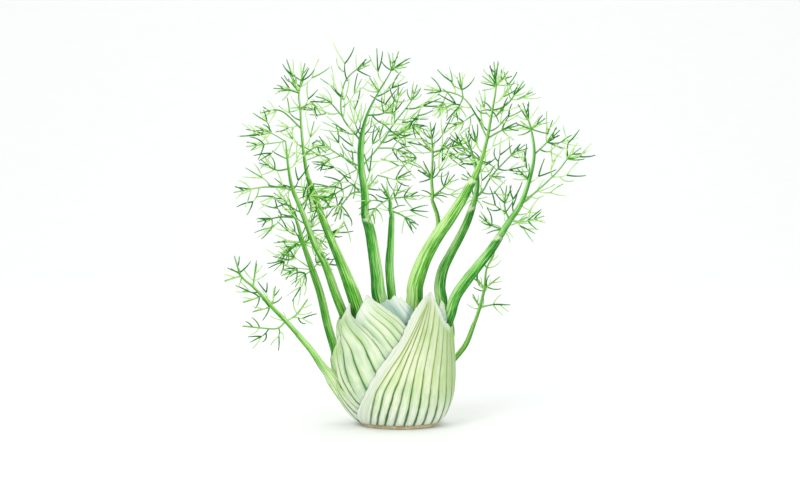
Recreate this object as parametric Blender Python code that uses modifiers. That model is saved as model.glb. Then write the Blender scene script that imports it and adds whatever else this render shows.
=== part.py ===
"""A fennel bulb as picked: a cut root plate, ten leaf sheaths wrapped round each other,
and on them eleven green stalks that branch into feathery fronds.

World frame: +Z up, +X to the right of the bulb's broad face, -Y to its front. The origin is the
middle of the flat cut under the root plate. Sizes below are in millimetres, angles in degrees,
counted round the bulb from +X (0) by the back (90) to the left (180) and the front (270 or -90).
"""

import math

import bmesh
import bpy
from mathutils import Vector

MM = 0.001
COLLECTION = "fennel_bulb"
CUTTERS = "cutters"

# Root plate
PLATE_HEIGHT = 3.5
PLATE_HALF_WIDTH = 33.5
PLATE_HALF_DEPTH = 26.0
PLATE_ROUNDING = 1.0
TOUCHING_GAP = 0.3

# Outside of the bulb: height, half width to the left, half width to the right, half depth
BULB_PROFILE = (
    (0, 34.0, 33.0, 26.0),
    (7, 41.5, 38.5, 31.0),
    (16, 49.0, 43.0, 35.5),
    (26, 55.0, 46.0, 38.5),
    (40, 59.0, 47.5, 40.5),
    (56, 59.5, 47.5, 40.5),
    (72, 57.0, 46.5, 38.5),
    (90, 52.5, 45.0, 34.0),
    (104, 47.0, 41.0, 28.5),
    (116, 42.0, 36.0, 23.0),
    (130, 36.0, 31.0, 18.0),
)

# Sheath walls
BLADE = 3.4
LAYER_GAP = 1.1
RIM_FADE = 18.0
RIM_FULL = 22.0
BASE_THINNING = 0.42
THINNING_HEIGHT = 42.0
THINNEST = 0.7
SLACK_HEIGHT = 116.0
MIDRIB_SPREAD = 18.0
MIDRIB_RISE = 60.0
MIDRIB_FADE = 25.0
ROW_STEP = 13.0
COLUMN_STEP = 12.0
HEART_ROWS = 7

# Stalks and fronds
STALK_SEAT = 0.8
STALK_STEP = 14.0
STALK_FLARE = 1.03
FROND_SEAT = 2.5
RIB_START = 0.95
RIB_TAPER = {"right_thick": 0.45, "left_inner": 0.65, "right_outer": 0.85, "right_slender": 0.95}
EVEN_TAPER = 1.2
BRANCH_START = 1.3
BRANCH_END = 0.8
TWIG_LENGTH = 10.0
TWIG_SPREAD = 58.0
TIP_FORK = 32.0
TWIG_LEAN = 0.35
TWIG_RADIUS = 0.6
TWIG_SETBACK = 0.9
TIP_SETBACK = 7.5
TUBE_TURN = 0.37
WELD = 0.000001

# The leaves, from the outside of the bulb inward. Of each: the angle of its midrib, how thick
# the midrib is, how far the leaf stands in from the one outside it, and its rim as
# (angle, height) from margin to margin.
SHEATHS = {
    "far_right": dict(
        midrib=30, rib=4.5, slack=0.0,
        rim=((-8, 8), (8, 24), (24, 43), (36, 43), (58, 22), (78, 8)),
    ),
    "right_outer": dict(
        midrib=-5, rib=9.0, slack=0.0,
        rim=((-149, 8), (-143, 12), (-131, 20), (-120, 33), (-110, 48), (-106, 56), (-101, 63),
             (-96, 70), (-91, 76), (-86, 84), (-82, 91), (-78, 97), (-72, 103), (-63, 109),
             (-52, 114), (-43, 116), (-39, 105), (-34, 94), (-26, 88), (-22, 86), (12, 86),
             (25, 91), (45, 97), (62, 90), (80, 68), (98, 48), (118, 28), (136, 14),
             (150, 8)),
    ),
    "far_left": dict(
        midrib=191, rib=5.5, slack=0.0,
        rim=((150, 8), (165, 20), (180, 38), (204, 38), (214, 30), (227, 18), (238, 8)),
    ),
    "left_outer": dict(
        midrib=180, rib=7.0, slack=0.0,
        rim=((112, 8), (128, 26), (142, 48), (156, 68), (168, 60), (192, 60), (200, 79),
             (204, 76), (216, 50), (230, 27), (246, 8)),
    ),
    "left_middle": dict(
        midrib=176, rib=7.5, slack=0.0,
        rim=((84, 8), (100, 30), (118, 62), (140, 92), (156, 96), (168, 91), (192, 91), (199, 104),
             (203, 104), (211, 97), (220, 94), (228, 91), (241, 84), (250, 77), (256, 72),
             (260, 67), (267, 57), (277, 40), (287, 20), (293, 8)),
    ),
    "left_inner": dict(
        midrib=187, rib=10.5, slack=0.0,
        rim=((42, 8), (58, 34), (75, 60), (95, 84), (115, 96), (140, 104), (156, 100), (168, 91),
             (218, 91), (222, 94), (226, 105), (229, 112), (235, 112), (240, 110), (246, 107),
             (255, 104), (263, 100), (270, 95), (276, 90), (300, 65), (320, 37), (340, 8)),
    ),
    "right_slender": dict(
        midrib=6, rib=8.5, slack=0.0,
        rim=((-148, 8), (-130, 40), (-110, 66), (-85, 84), (-60, 92), (-40, 100), (-24, 107),
             (-18, 107), (-12, 103), (24, 103), (50, 96), (75, 88), (100, 76), (122, 52),
             (140, 26), (152, 8)),
    ),
    "right_thick": dict(
        midrib=4, rib=11.5, slack=6.0,
        rim=((-150, 8), (-133, 44), (-113, 70), (-90, 84), (-60, 92), (-30, 97),
             (36, 97), (60, 92), (90, 86), (118, 70), (140, 44), (158, 8)),
    ),
    "centre": dict(
        midrib=180, rib=10.5, slack=4.0,
        rim=((12, 8), (35, 56), (60, 78), (90, 90), (120, 98), (145, 103), (215, 103),
             (228, 103), (240, 105), (262, 112), (272, 111), (288, 102), (305, 92), (325, 76),
             (342, 40), (350, 8)),
    ),
}
HEART_TOP = 97.0
HEART_GAP = 1.6

# The two youngest stalks stand on the heart's flat top, each at its own (x, y).
HEART_FEET = {"heart": (-6.0, 6.0), "young": (5.0, 13.0)}

# Stalks, bottom to top, as (x, y, z, radius). The first is where the stalk leaves its sheath:
# its x and y come from the sheath.
STALKS = {
    "far_left": ((-66, -11, 52, 2.9), (-75, -10, 65, 2.5), (-87, -8, 79, 2.2)),
    "left_outer": ((-62, 6, 85, 3.4), (-68, 8, 111, 3.1), (-75, 10, 132, 2.8)),
    "left_middle": ((-55, 0, 113, 3.7), (-63, -4, 137, 3.1), (-70, -8, 151, 2.8)),
    "left_inner": ((-39, -3, 105, 5.7), (-41, -4, 116, 5.5), (-49, -6, 137, 4.2), (-58, -8, 159, 3.4),
                   (-66, -8, 179, 2.9), (-77, -7, 210, 2.0)),
    "centre": ((-21, 1, 112, 5.2), (-20, 2, 130, 5.2), (-25, 3, 163, 4.4), (-29, 4, 177, 3.9)),
    "heart": ((-9, 7, 133, 3.5), (-8, 8, 154, 2.9), (-7, 9, 177, 2.3)),
    "right_thick": ((14, -2, 110, 6.4), (13, -2, 120, 6.5), (17, -4, 134, 6.2), (22, -6, 146, 5.7),
                    (31, -8, 162, 5.2), (41, -9, 176, 4.7), (52, -10, 193, 4.0), (62, -10, 211, 3.2)),
    "right_slender": ((34, 6, 118, 4.6), (37, 8, 133, 4.2), (44, 9, 147, 3.6), (52, 10, 162, 3.4),
                      (58, 10, 175, 3.2), (62, 10, 187, 2.9)),
    "right_outer": ((43, -6, 97, 4.6), (47, -9, 111, 4.5), (56, -12, 125, 4.3), (66, -14, 138, 4.0),
                    (77, -15, 152, 3.6), (84, -15, 163, 3.2)),
    "far_right": ((56, 20, 65, 2.2), (64, 22, 84, 1.8)),
    "young": ((10, 15, 112, 2.3), (12, 15, 125, 2.3), (16, 14, 140, 2.2), (25, 12, 155, 2.1),
              (32, 11, 168, 2.0), (32, 10, 178, 1.8), (28, 10, 190, 1.6)),
}

# Fronds, as branches of (x, z) points. The first is the frond's own rib, from the stalk's top,
# and each other one starts at a point of a branch before it. Lean is how far a branch comes
# forward (-) or goes back (+) for each millimetre of its length.
FRONDS = {
    "far_left": (
        (0.10, ((-87, 79), (-97, 90), (-109, 102), (-117, 111), (-125, 119), (-135, 128),
                (-141, 145))),
        (-0.30, ((-97, 90), (-104, 84), (-118, 85), (-133, 87))),
        (0.35, ((-97, 90), (-88, 95), (-79, 107))),
        (-0.25, ((-109, 102), (-125, 98))),
        (0.30, ((-109, 102), (-106, 119))),
        (-0.35, ((-117, 111), (-133, 106))),
        (0.30, ((-125, 119), (-122, 138))),
        (-0.20, ((-135, 128), (-149, 124))),
    ),
    "left_outer": (
        (0.25, ((-75, 132), (-83, 154), (-90, 176), (-99, 190))),
        (0.45, ((-83, 154), (-97, 148), (-106, 138))),
        (-0.30, ((-83, 154), (-73, 160), (-62, 151))),
        (0.50, ((-90, 176), (-104, 176), (-124, 171))),
        (0.35, ((-99, 190), (-109, 197))),
    ),
    "left_middle": (
        (-0.20, ((-70, 151), (-76, 166), (-84, 188), (-90, 203), (-93, 220), (-95, 243))),
        (-0.50, ((-84, 188), (-73, 197), (-62, 195))),
        (-0.35, ((-90, 203), (-112, 205), (-138, 201))),
        (0.15, ((-93, 220), (-104, 219), (-117, 228))),
        (-0.30, ((-95, 243), (-111, 241), (-127, 239))),
        (0.20, ((-95, 243), (-110, 251), (-122, 252))),
    ),
    "left_inner": (
        (0.05, ((-77, 210), (-81, 231), (-83, 253), (-84, 270), (-85, 283), (-80, 308))),
        (-0.40, ((-81, 231), (-70, 238), (-62, 233))),
        (0.40, ((-83, 253), (-101, 268), (-119, 266))),
        (-0.35, ((-84, 270), (-74, 274), (-66, 265))),
        (0.30, ((-85, 283), (-96, 286), (-107, 287))),
        (-0.30, ((-85, 283), (-92, 298))),
    ),
    "centre": (
        (0.05, ((-29, 177), (-30, 199), (-33, 220), (-33, 242), (-28, 264), (-18, 284), (-7, 303),
                (-6, 317))),
        (-0.40, ((-30, 199), (-41, 198), (-50, 187), (-55, 175))),
        (0.40, ((-30, 199), (-19, 213))),
        (-0.30, ((-33, 220), (-50, 230), (-71, 244))),
        (0.35, ((-33, 220), (-19, 236), (-5, 257), (9, 275), (15, 290))),
        (0.50, ((-19, 236), (-4, 235), (9, 227))),
        (0.30, ((-33, 242), (-49, 263), (-49, 286), (-42, 299), (-25, 311))),
        (0.20, ((-49, 263), (-61, 276), (-72, 280))),
        (-0.35, ((-28, 264), (-14, 266), (-4, 277))),
        (0.30, ((-18, 284), (-26, 296))),
        (-0.30, ((-7, 303), (8, 309))),
    ),
    "heart": (
        (0.10, ((-7, 177), (-8, 183), (-9, 193), (-16, 206))),
        (-0.45, ((-8, 183), (4, 178), (14, 168))),
        (0.45, ((-9, 193), (3, 194), (17, 195))),
        (-0.60, ((-9, 193), (-20, 186), (-27, 174))),
    ),
    "right_thick": (
        (-0.10, ((62, 211), (68, 226), (73, 245), (77, 268), (80, 289), (78, 309))),
        (-0.50, ((68, 226), (55, 236), (42, 249))),
        (0.20, ((73, 245), (86, 252), (100, 256))),
        (0.20, ((73, 245), (63, 266), (53, 279), (40, 284), (20, 286))),
        (0.30, ((53, 279), (50, 300))),
        (0.30, ((77, 268), (90, 274), (104, 293))),
        (-0.30, ((80, 289), (90, 301))),
        (0.30, ((80, 289), (69, 297))),
    ),
    "right_slender": (
        (0.05, ((62, 187), (64, 193), (66, 206), (64, 222), (56, 249))),
        (0.10, ((64, 193), (71, 200), (78, 212), (93, 228), (107, 239))),
        (-0.15, ((66, 206), (53, 214))),
        (0.45, ((78, 212), (90, 211))),
    ),
    "right_outer": (
        (-0.10, ((84, 163), (87, 168), (92, 176), (101, 190), (108, 210), (112, 232), (109, 253),
                 (102, 275))),
        (-0.40, ((87, 168), (76, 173), (66, 181))),
        (-0.45, ((92, 176), (105, 176), (120, 181))),
        (0.30, ((92, 176), (88, 188), (90, 205))),
        (-0.25, ((101, 190), (116, 203), (131, 218), (140, 230), (150, 238))),
        (-0.50, ((108, 210), (97, 221))),
        (0.30, ((112, 232), (123, 242), (134, 252))),
        (0.30, ((109, 253), (121, 262))),
        (-0.30, ((109, 253), (96, 258))),
    ),
    "far_right": (
        (0.15, ((64, 84), (69, 98), (73, 114), (75, 131), (82, 145))),
        (0.35, ((69, 98), (63, 109))),
        (-0.25, ((69, 98), (82, 101), (95, 101))),
        (-0.35, ((73, 114), (86, 125))),
        (0.30, ((73, 114), (66, 124))),
    ),
    "young": (
        (0.30, ((28, 190), (28, 195), (27, 210), (28, 232), (26, 258))),
        (0.45, ((28, 195), (37, 202), (47, 213))),
        (-0.20, ((27, 210), (17, 221))),
        (0.50, ((28, 232), (42, 236), (58, 240))),
        (0.20, ((28, 232), (18, 244))),
    ),
}

COLOURS = {
    "plate": (0.72, 0.66, 0.48),
    "sheath": (0.80, 0.88, 0.68),
    "stalk": (0.16, 0.46, 0.10),
    "frond": (0.22, 0.55, 0.14),
}


def smooth(low, high, value):
    """0 up to low, 1 from high on, with an even curve between."""
    share = min(max((value - low) / (high - low), 0.0), 1.0)
    return share * share * (3.0 - 2.0 * share)


def read_along(table, place):
    """The row of a table at a place between its first column's values."""
    if place <= table[0][0]:
        return table[0][1:]
    for low, high in zip(table, table[1:]):
        if place <= high[0]:
            share = (place - low[0]) / (high[0] - low[0])
            return tuple(a + (b - a) * share for a, b in zip(low[1:], high[1:]))
    return table[-1][1:]


def near_angle(angle, centre):
    """The same direction as angle, counted within half a turn of centre."""
    return centre + (angle - centre + 180.0) % 360.0 - 180.0


def rim_height(leaf, angle):
    """Height of a sheath's rim; past its margins the rim goes on falling."""
    rim = leaf["rim"]
    middle = (rim[0][0] + rim[-1][0]) / 2.0
    angle = near_angle(angle, middle)
    past = max(rim[0][0] - angle, angle - rim[-1][0], 0.0)
    return read_along(rim, angle)[0] - past


def wall(leaf, angle, height):
    """Thickness of a sheath: thin at its rim and foot, thick along the midrib."""
    under_rim = rim_height(leaf, angle) - height
    blade = BLADE * smooth(-RIM_FADE, RIM_FULL, under_rim)
    blade *= BASE_THINNING + (1.0 - BASE_THINNING) * smooth(0.0, THINNING_HEIGHT, height)
    off_rib = (near_angle(angle, leaf["midrib"]) - leaf["midrib"]) / MIDRIB_SPREAD
    rib = leaf["rib"] * math.exp(-off_rib * off_rib) * smooth(0.0, MIDRIB_RISE, height)
    return blade + rib * (1.0 - smooth(0.0, MIDRIB_FADE, -under_rim))


def depth_of(name, angle, height):
    """How far a sheath's outer face lies inside the bulb's outline."""
    depth = 0.0
    for other, leaf in SHEATHS.items():
        under_rim = rim_height(leaf, angle) - height
        if other == name:
            return depth + leaf["slack"] * (height / SLACK_HEIGHT) ** 2
        depth += wall(leaf, angle, height) + LAYER_GAP * smooth(-RIM_FADE, 0.0, under_rim)
        depth += leaf["slack"] * (height / SLACK_HEIGHT) ** 2
    return depth


def clear_depth(name, angle, height, across, along):
    """The same, made deep enough for flat facets that reach this far across and along."""
    return max(
        depth_of(name, angle + turn * across, height + rise * along)
        for turn in (-1.0, 0.0, 1.0)
        for rise in (-1.0, 0.0, 1.0)
    )


def on_bulb(angle, height, depth):
    """A point in metres, depth inside the bulb's outline. Towards the bulb's flat middle the
    layers lie closer together, so that none reaches past the middle plane."""
    left, right, front = read_along(BULB_PROFILE, height)
    turn = math.radians(angle)
    half_width = right if math.cos(turn) > 0.0 else left
    return Vector((
        (half_width - depth) * math.cos(turn) * MM,
        front * math.exp(-depth / front) * math.sin(turn) * MM,
        height * MM,
    ))


def material(kind):
    """One Principled material for each kind of tissue."""
    made = bpy.data.materials.get(kind)
    if made is None:
        made = bpy.data.materials.new(kind)
        made.use_nodes = True
        shader = made.node_tree.nodes["Principled BSDF"]
        shader.inputs["Base Color"].default_value = (*COLOURS[kind], 1.0)
        shader.inputs["Roughness"].default_value = 0.45
        shader.inputs["Metallic"].default_value = 0.0
    return made


def finish(name, mesh, kind, collection):
    """A mesh made into a named piece of the fennel."""
    piece = bpy.data.objects.new(name, mesh)
    mesh.materials.append(material(kind))
    collection.objects.link(piece)
    return piece


def root_plate(collection):
    """The trimmed disc of stem that every sheath grows from, cut flat underneath."""
    form = bmesh.new()
    bmesh.ops.create_cone(form, cap_ends=True, segments=32, radius1=1.0, radius2=1.0, depth=1.0)
    for corner in form.verts:
        corner.co.x *= PLATE_HALF_WIDTH * MM
        corner.co.y *= PLATE_HALF_DEPTH * MM
        corner.co.z = (corner.co.z + 0.5) * PLATE_HEIGHT * MM
    mesh = bpy.data.meshes.new("root_plate")
    form.to_mesh(mesh)
    form.free()
    plate = finish("root_plate", mesh, "plate", collection)
    rounding = plate.modifiers.new("rounding", "BEVEL")
    rounding.width = PLATE_ROUNDING * MM
    rounding.segments = 2
    rounding.limit_method = "ANGLE"
    return plate


def sheath(name, collection):
    """A flat slab of tissue, wrapped round the bulb and cut off along its rim."""
    leaf = SHEATHS[name]
    first, last = leaf["rim"][0][0], leaf["rim"][-1][0]
    steps = [first, last]
    steps.extend(COLUMN_STEP * n for n in range(-30, 60) if first < COLUMN_STEP * n < last)
    steps.sort()
    columns = len(steps) - 1
    rows = max(3, round(max(height for _, height in leaf["rim"]) / ROW_STEP))
    form = bmesh.new()
    bmesh.ops.create_grid(form, x_segments=columns, y_segments=rows, size=0.5)
    grown = bmesh.ops.extrude_face_region(form, geom=list(form.faces))
    inside = {part for part in grown["geom"] if isinstance(part, bmesh.types.BMVert)}
    foot = PLATE_HEIGHT + TOUCHING_GAP
    for corner in form.verts:
        angle = steps[round((corner.co.x + 0.5) * columns)]
        height = foot + (corner.co.y + 0.5) * (rim_height(leaf, angle) - foot)
        depth = clear_depth(name, angle, height, COLUMN_STEP / 2.0, ROW_STEP / 2.0)
        if corner in inside:
            own = depth_of(name, angle, height) + wall(leaf, angle, height)
            depth = max(own, depth + THINNEST)
        corner.co = on_bulb(angle, height, depth)
    bmesh.ops.recalc_face_normals(form, faces=form.faces)
    if form.calc_volume(signed=True) < 0.0:
        bmesh.ops.reverse_faces(form, faces=form.faces)
    bmesh.ops.triangulate(form, faces=form.faces)
    mesh = bpy.data.meshes.new(f"{name}_sheath")
    form.to_mesh(mesh)
    form.free()
    mesh.shade_smooth()
    return finish(f"{name}_sheath", mesh, "sheath", collection)


def heart(collection):
    """The innermost sheath, rolled up tight round the bud, so that it is solid."""
    form = bmesh.new()
    bmesh.ops.create_cone(form, cap_ends=True, segments=30, radius1=1.0, radius2=1.0, depth=1.0)
    upright = [edge for edge in form.edges if abs(edge.verts[0].co.z - edge.verts[1].co.z) > 0.5]
    bmesh.ops.subdivide_edges(form, edges=upright, cuts=HEART_ROWS - 1)
    foot = PLATE_HEIGHT + TOUCHING_GAP
    for corner in form.verts:
        angle = math.degrees(math.atan2(corner.co.y, corner.co.x))
        height = foot + (corner.co.z + 0.5) * (HEART_TOP - foot)
        depth = clear_depth("heart", angle, height, COLUMN_STEP, ROW_STEP) + HEART_GAP
        corner.co = on_bulb(angle, height, depth)
    bmesh.ops.triangulate(form, faces=form.faces)
    mesh = bpy.data.meshes.new("heart_sheath")
    form.to_mesh(mesh)
    form.free()
    mesh.shade_smooth()
    return finish("heart_sheath", mesh, "sheath", collection)


def bend_smoothly(points, step):
    """A Catmull-Rom path through the points, with about one step between its own points."""
    ends = [points[0] * 2 - points[1], *points, points[-1] * 2 - points[-2]]
    path = []
    for before, low, high, after in zip(ends, ends[1:], ends[2:], ends[3:]):
        count = max(1, round((high - low).length / step))
        for number in range(count):
            t = number / count
            path.append(0.5 * (
                2 * low + (high - before) * t
                + (2 * before - 5 * low + 4 * high - after) * t ** 2
                + (3 * low - before - 3 * high + after) * t ** 3
            ))
    return [*path, points[-1]]


def tube_curve(name, paths, resolution):
    """Round tapered tubes in one curve, one for each path of (x, y, z, radius) points."""
    line = bpy.data.curves.new(name, "CURVE")
    line.dimensions = "3D"
    line.bevel_depth = MM
    line.bevel_resolution = resolution
    line.use_fill_caps = True
    for path in paths:
        spline = line.splines.new("POLY")
        spline.points.add(len(path) - 1)
        for place, spot in zip(spline.points, path):
            place.co = (spot.x * MM, spot.y * MM, spot.z * MM, 1.0)
            place.radius = spot.w
            place.tilt = TUBE_TURN * len(line.splines)
    return line


def stalk_foot(name):
    """Where a stalk stands: on its sheath's rim at the midrib, or on the heart's flat top."""
    if name in HEART_FEET:
        return Vector((*HEART_FEET[name], HEART_TOP + TOUCHING_GAP))
    leaf = SHEATHS[name]
    height = rim_height(leaf, leaf["midrib"])
    middle = depth_of(name, leaf["midrib"], height) + wall(leaf, leaf["midrib"], height) / 2.0
    foot = on_bulb(leaf["midrib"], height, middle) / MM
    foot.z += TOUCHING_GAP
    return foot


def stalk_path(name):
    """The middle line of a stalk, upright where it stands on its sheath, with its radii."""
    foot = stalk_foot(name)
    radius = STALKS[name][0][3] * STALK_FLARE
    seat = Vector((foot.x, foot.y, foot.z + radius * STALK_SEAT, radius))
    points = [Vector((*foot, radius)), seat]
    points.extend(Vector(knot) for knot in STALKS[name])
    return bend_smoothly(points, STALK_STEP)


def stalk(name, collection):
    """A tapered round tube from the sheath up to where the leaf first divides."""
    line = tube_curve(f"{name}_stalk", [stalk_path(name)], 2)
    tube = bpy.data.objects.new(f"{name}_stalk", line)
    line.materials.append(material("stalk"))
    collection.objects.link(tube)
    return tube


def tube_mesh(name, paths, resolution):
    """The same tubes as a mesh, with their caps welded on."""
    tube = bpy.data.objects.new(name, tube_curve(name, paths, resolution))
    bpy.context.scene.collection.objects.link(tube)
    evaluated = tube.evaluated_get(bpy.context.evaluated_depsgraph_get())
    mesh = bpy.data.meshes.new_from_object(evaluated)
    bpy.data.objects.remove(tube)
    form = bmesh.new()
    form.from_mesh(mesh)
    bmesh.ops.remove_doubles(form, verts=form.verts, dist=WELD)
    form.to_mesh(mesh)
    form.free()
    return mesh


def frond_paths(name):
    """Every branch of a frond as points with radii, the frond's own rib first."""
    below, start = stalk_path(name)[-2:]
    growing = (start.xyz - below.xyz).normalized()
    places = {FRONDS[name][0][1][0]: start}
    paths = []
    for lean, branch in FRONDS[name]:
        first = places[branch[0]]
        thick = first.w * RIB_START if not paths else min(first.w, BRANCH_START)
        taper = EVEN_TAPER if paths else RIB_TAPER.get(name, EVEN_TAPER)
        length = sum(math.dist(low, high) for low, high in zip(branch, branch[1:]))
        path = [Vector((*first.xyz, thick))]
        along = 0.0
        for low, high in zip(branch, branch[1:]):
            along += math.dist(low, high)
            radius = thick + (BRANCH_END - thick) * (along / length) ** taper
            path.append(Vector((high[0], first.y + lean * along, high[1], radius)))
            places[high] = path[-1]
        paths.append(path)
    foot = Vector((*(start.xyz + growing * TOUCHING_GAP), start.w * RIB_START))
    seat = Vector((*(start.xyz + growing * FROND_SEAT), start.w * RIB_START))
    paths[0][:1] = [foot, seat]
    return paths


def twigs(path):
    """A short twig at each point of a branch, left and right in turn, and a fork at its tip."""
    grown = []
    for number in range(1, len(path)):
        way = (path[number].xyz - path[number - 1].xyz).normalized()
        side = way.cross(Vector((0.0, 1.0, 0.0))).normalized()
        at_tip = number == len(path) - 1
        spread = math.radians(TIP_FORK if at_tip else TWIG_SPREAD)
        spot = path[number].xyz - way * (TIP_SETBACK if at_tip else TWIG_SETBACK)
        turn = (-1.0) ** number
        for hand in (-turn, turn) if at_tip else (turn,):
            aim = way * math.cos(spread) + side * hand * math.sin(spread)
            aim.y += TWIG_LEAN * hand
            end = spot + aim.normalized() * TWIG_LENGTH
            grown.append([Vector((*spot, TWIG_RADIUS)), Vector((*end, TWIG_RADIUS * 0.8))])
    return grown


def frond(name, collection, cutters):
    """The rib of a leaf's green part, joined with its branches and their twigs."""
    paths = frond_paths(name)
    branches = paths[1:]
    for path in paths:
        branches.extend(twigs(path))
    rib = finish(f"{name}_frond", tube_mesh(f"{name}_frond", paths[:1], 0), "frond", collection)
    growth = bpy.data.objects.new(f"{name}_branches", tube_mesh(f"{name}_branches", branches, 0))
    cutters.objects.link(growth)
    growth.hide_render = True
    growth.display_type = "WIRE"
    union = rib.modifiers.new("branches", "BOOLEAN")
    union.operation = "UNION"
    union.solver = "EXACT"
    union.use_self = True
    union.object = growth
    return rib


def build():
    for leftover in list(bpy.data.objects):
        bpy.data.objects.remove(leftover)
    collection = bpy.data.collections.new(COLLECTION)
    bpy.context.scene.collection.children.link(collection)
    cutters = bpy.data.collections.new(CUTTERS)
    bpy.context.scene.collection.children.link(cutters)
    root_plate(collection)
    for name in SHEATHS:
        sheath(name, collection)
    heart(collection)
    for name in STALKS:
        stalk(name, collection)
    for name in FRONDS:
        frond(name, collection, cutters)


build()
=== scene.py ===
"""A fennel bulb as picked, standing on its cut root plate: nine pale ribbed leaf sheaths wrapped
round a solid heart, eleven green stalks, and the feathery fronds at their tops.

Every piece is made round the bulb's own plain solids, in their frame: metres, +Z up, +X to the
right of the bulb's broad face, -Y to its front, and the origin under the middle of the root
plate. The tables are in millimetres and degrees, counted round the bulb from +X (0) by the back
(90) to the left (180) and the front (270 or -90).
"""

import math

import bpy
import numpy as np
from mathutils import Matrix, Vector, kdtree


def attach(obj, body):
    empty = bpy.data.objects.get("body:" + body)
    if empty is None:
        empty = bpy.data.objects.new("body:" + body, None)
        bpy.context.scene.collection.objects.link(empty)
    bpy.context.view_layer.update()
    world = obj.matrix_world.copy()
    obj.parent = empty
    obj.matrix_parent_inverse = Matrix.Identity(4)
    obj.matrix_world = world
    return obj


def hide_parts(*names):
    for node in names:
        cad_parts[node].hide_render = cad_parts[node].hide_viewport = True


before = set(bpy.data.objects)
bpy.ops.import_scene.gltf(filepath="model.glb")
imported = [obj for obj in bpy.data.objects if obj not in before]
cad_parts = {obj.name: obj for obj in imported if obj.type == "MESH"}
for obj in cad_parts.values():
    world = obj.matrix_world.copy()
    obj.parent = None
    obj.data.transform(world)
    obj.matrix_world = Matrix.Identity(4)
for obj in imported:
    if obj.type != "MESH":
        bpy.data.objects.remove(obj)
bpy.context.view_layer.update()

MM = 0.001


# ---------------------------------------------------------------------------------------------
# The studio: a pale sheet of card that lies flat under the bulb and curves up behind it, lit by
# three broad soft lamps, and a long lens a little above the level of the fronds' middle.

CAMERA_AIM = Vector((0.0, 0.0, 0.150))
CAMERA_REACH = 1.606
CAMERA_RISE = math.radians(5.0)
LENS = 85.0
CARD_HALF_WIDTH = 4.0
CARD_FRONT = -3.0
CARD_BEND_START = 1.2
CARD_BEND = 1.4
CARD_TOP = 5.0
CARD_BEND_STEPS = 24


def tint(code):
    """A colour written as six hex digits, as the linear values that a shader takes."""
    shares = [int(code[place:place + 2], 16) / 255.0 for place in (0, 2, 4)]
    return (*(s / 12.92 if s <= 0.04045 else ((s + 0.055) / 1.055) ** 2.4 for s in shares), 1.0)


def feed(node, inputs):
    """Sets or links the inputs of a shader node. A colour is given by its hex digits."""
    for place, value in inputs.items():
        if isinstance(value, bpy.types.NodeSocket):
            node.id_data.links.new(value, node.inputs[place])
        else:
            node.inputs[place].default_value = tint(value) if isinstance(value, str) else value


def add_node(tree, kind, inputs, out=0, **settings):
    """A shader node with its settings made and its inputs fed; gives one of its outputs."""
    node = tree.nodes.new(f"ShaderNode{kind}")
    for key, value in settings.items():
        setattr(node, key, value)
    feed(node, inputs)
    return node.outputs[out]


def new_finish(name):
    """A node material, with its tree and its Principled shader."""
    finish = bpy.data.materials.new(name)
    finish.use_nodes = True
    return finish, finish.node_tree, finish.node_tree.nodes["Principled BSDF"]


def new_object(name, data):
    """A new object in the scene, with this mesh, lamp or camera."""
    thing = bpy.data.objects.new(name, data)
    bpy.context.scene.collection.objects.link(thing)
    return thing


camera = new_object("camera", bpy.data.cameras.new("camera"))
camera.data.lens = LENS
camera.data.clip_end = 50.0
camera.location = CAMERA_AIM + Vector(
    (0.0, -CAMERA_REACH * math.cos(CAMERA_RISE), CAMERA_REACH * math.sin(CAMERA_RISE))
)
camera.rotation_euler = (math.radians(90.0) - CAMERA_RISE, 0.0, 0.0)
bpy.context.scene.camera = camera
bpy.context.scene.view_settings.view_transform = "Standard"

card_line = [(CARD_FRONT, 0.0), (CARD_BEND_START, 0.0)]
for step in range(1, CARD_BEND_STEPS + 1):
    turn = math.radians(90.0) * step / CARD_BEND_STEPS
    card_line.append((
        CARD_BEND_START + CARD_BEND * math.sin(turn),
        CARD_BEND * (1.0 - math.cos(turn)),
    ))
card_line.append((CARD_BEND_START + CARD_BEND, CARD_TOP))
card_mesh = bpy.data.meshes.new("card")
card_mesh.from_pydata(
    [(x, y, z) for y, z in card_line for x in (-CARD_HALF_WIDTH, CARD_HALF_WIDTH)],
    [],
    [(2 * n, 2 * n + 1, 2 * n + 3, 2 * n + 2) for n in range(len(card_line) - 1)],
)
card_mesh.shade_smooth()
card_finish, tree, shader = new_finish("white_card")
grain = add_node(tree, "TexNoise", {"Scale": 220.0, "Detail": 3.0})
card_colour = add_node(
    tree, "Mix", {0: grain, 6: "f7f8f6", 7: "fafaf9"}, out=2, data_type="RGBA"
)
feed(shader, {"Base Color": card_colour, "Roughness": 0.95})
card_mesh.materials.append(card_finish)
card = new_object("card", card_mesh)

# Each lamp: where it stands, its width and its power. All face the middle of the bulb.
LAMPS = {
    "key": ((-1.3, -1.7, 1.9), 1.6, 26.0),
    "fill": ((1.7, -1.4, 0.9), 1.8, 9.0),
    "top": ((0.2, 0.6, 2.4), 1.8, 12.0),
}
for lamp_name, (place, width, power) in LAMPS.items():
    glow = bpy.data.lights.new(lamp_name, "AREA")
    glow.shape = "DISK"
    glow.size = width
    glow.energy = power
    lamp = new_object(lamp_name, glow)
    lamp.location = place
    lamp.rotation_euler = (CAMERA_AIM - Vector(place)).to_track_quat("-Z", "Y").to_euler()

room = bpy.data.worlds.new("room")
room.use_nodes = True
feed(room.node_tree.nodes["Background"], {"Color": "fbfcff", "Strength": 0.78})
bpy.context.scene.world = room


# ---------------------------------------------------------------------------------------------
# The root plate: the disc of hard pale stem left where the roots were trimmed off flat. Every
# sheath grows from its rim; its sides are scarred where older leaves were pulled away.

PLATE_HEIGHT = 3.5
PLATE_HALF_WIDTH = 33.3
PLATE_HALF_DEPTH = 25.8
PLATE_SEGMENTS = 180
PLATE_SCARS = 11
PLATE_SCAR_DEPTH = 0.25

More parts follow.
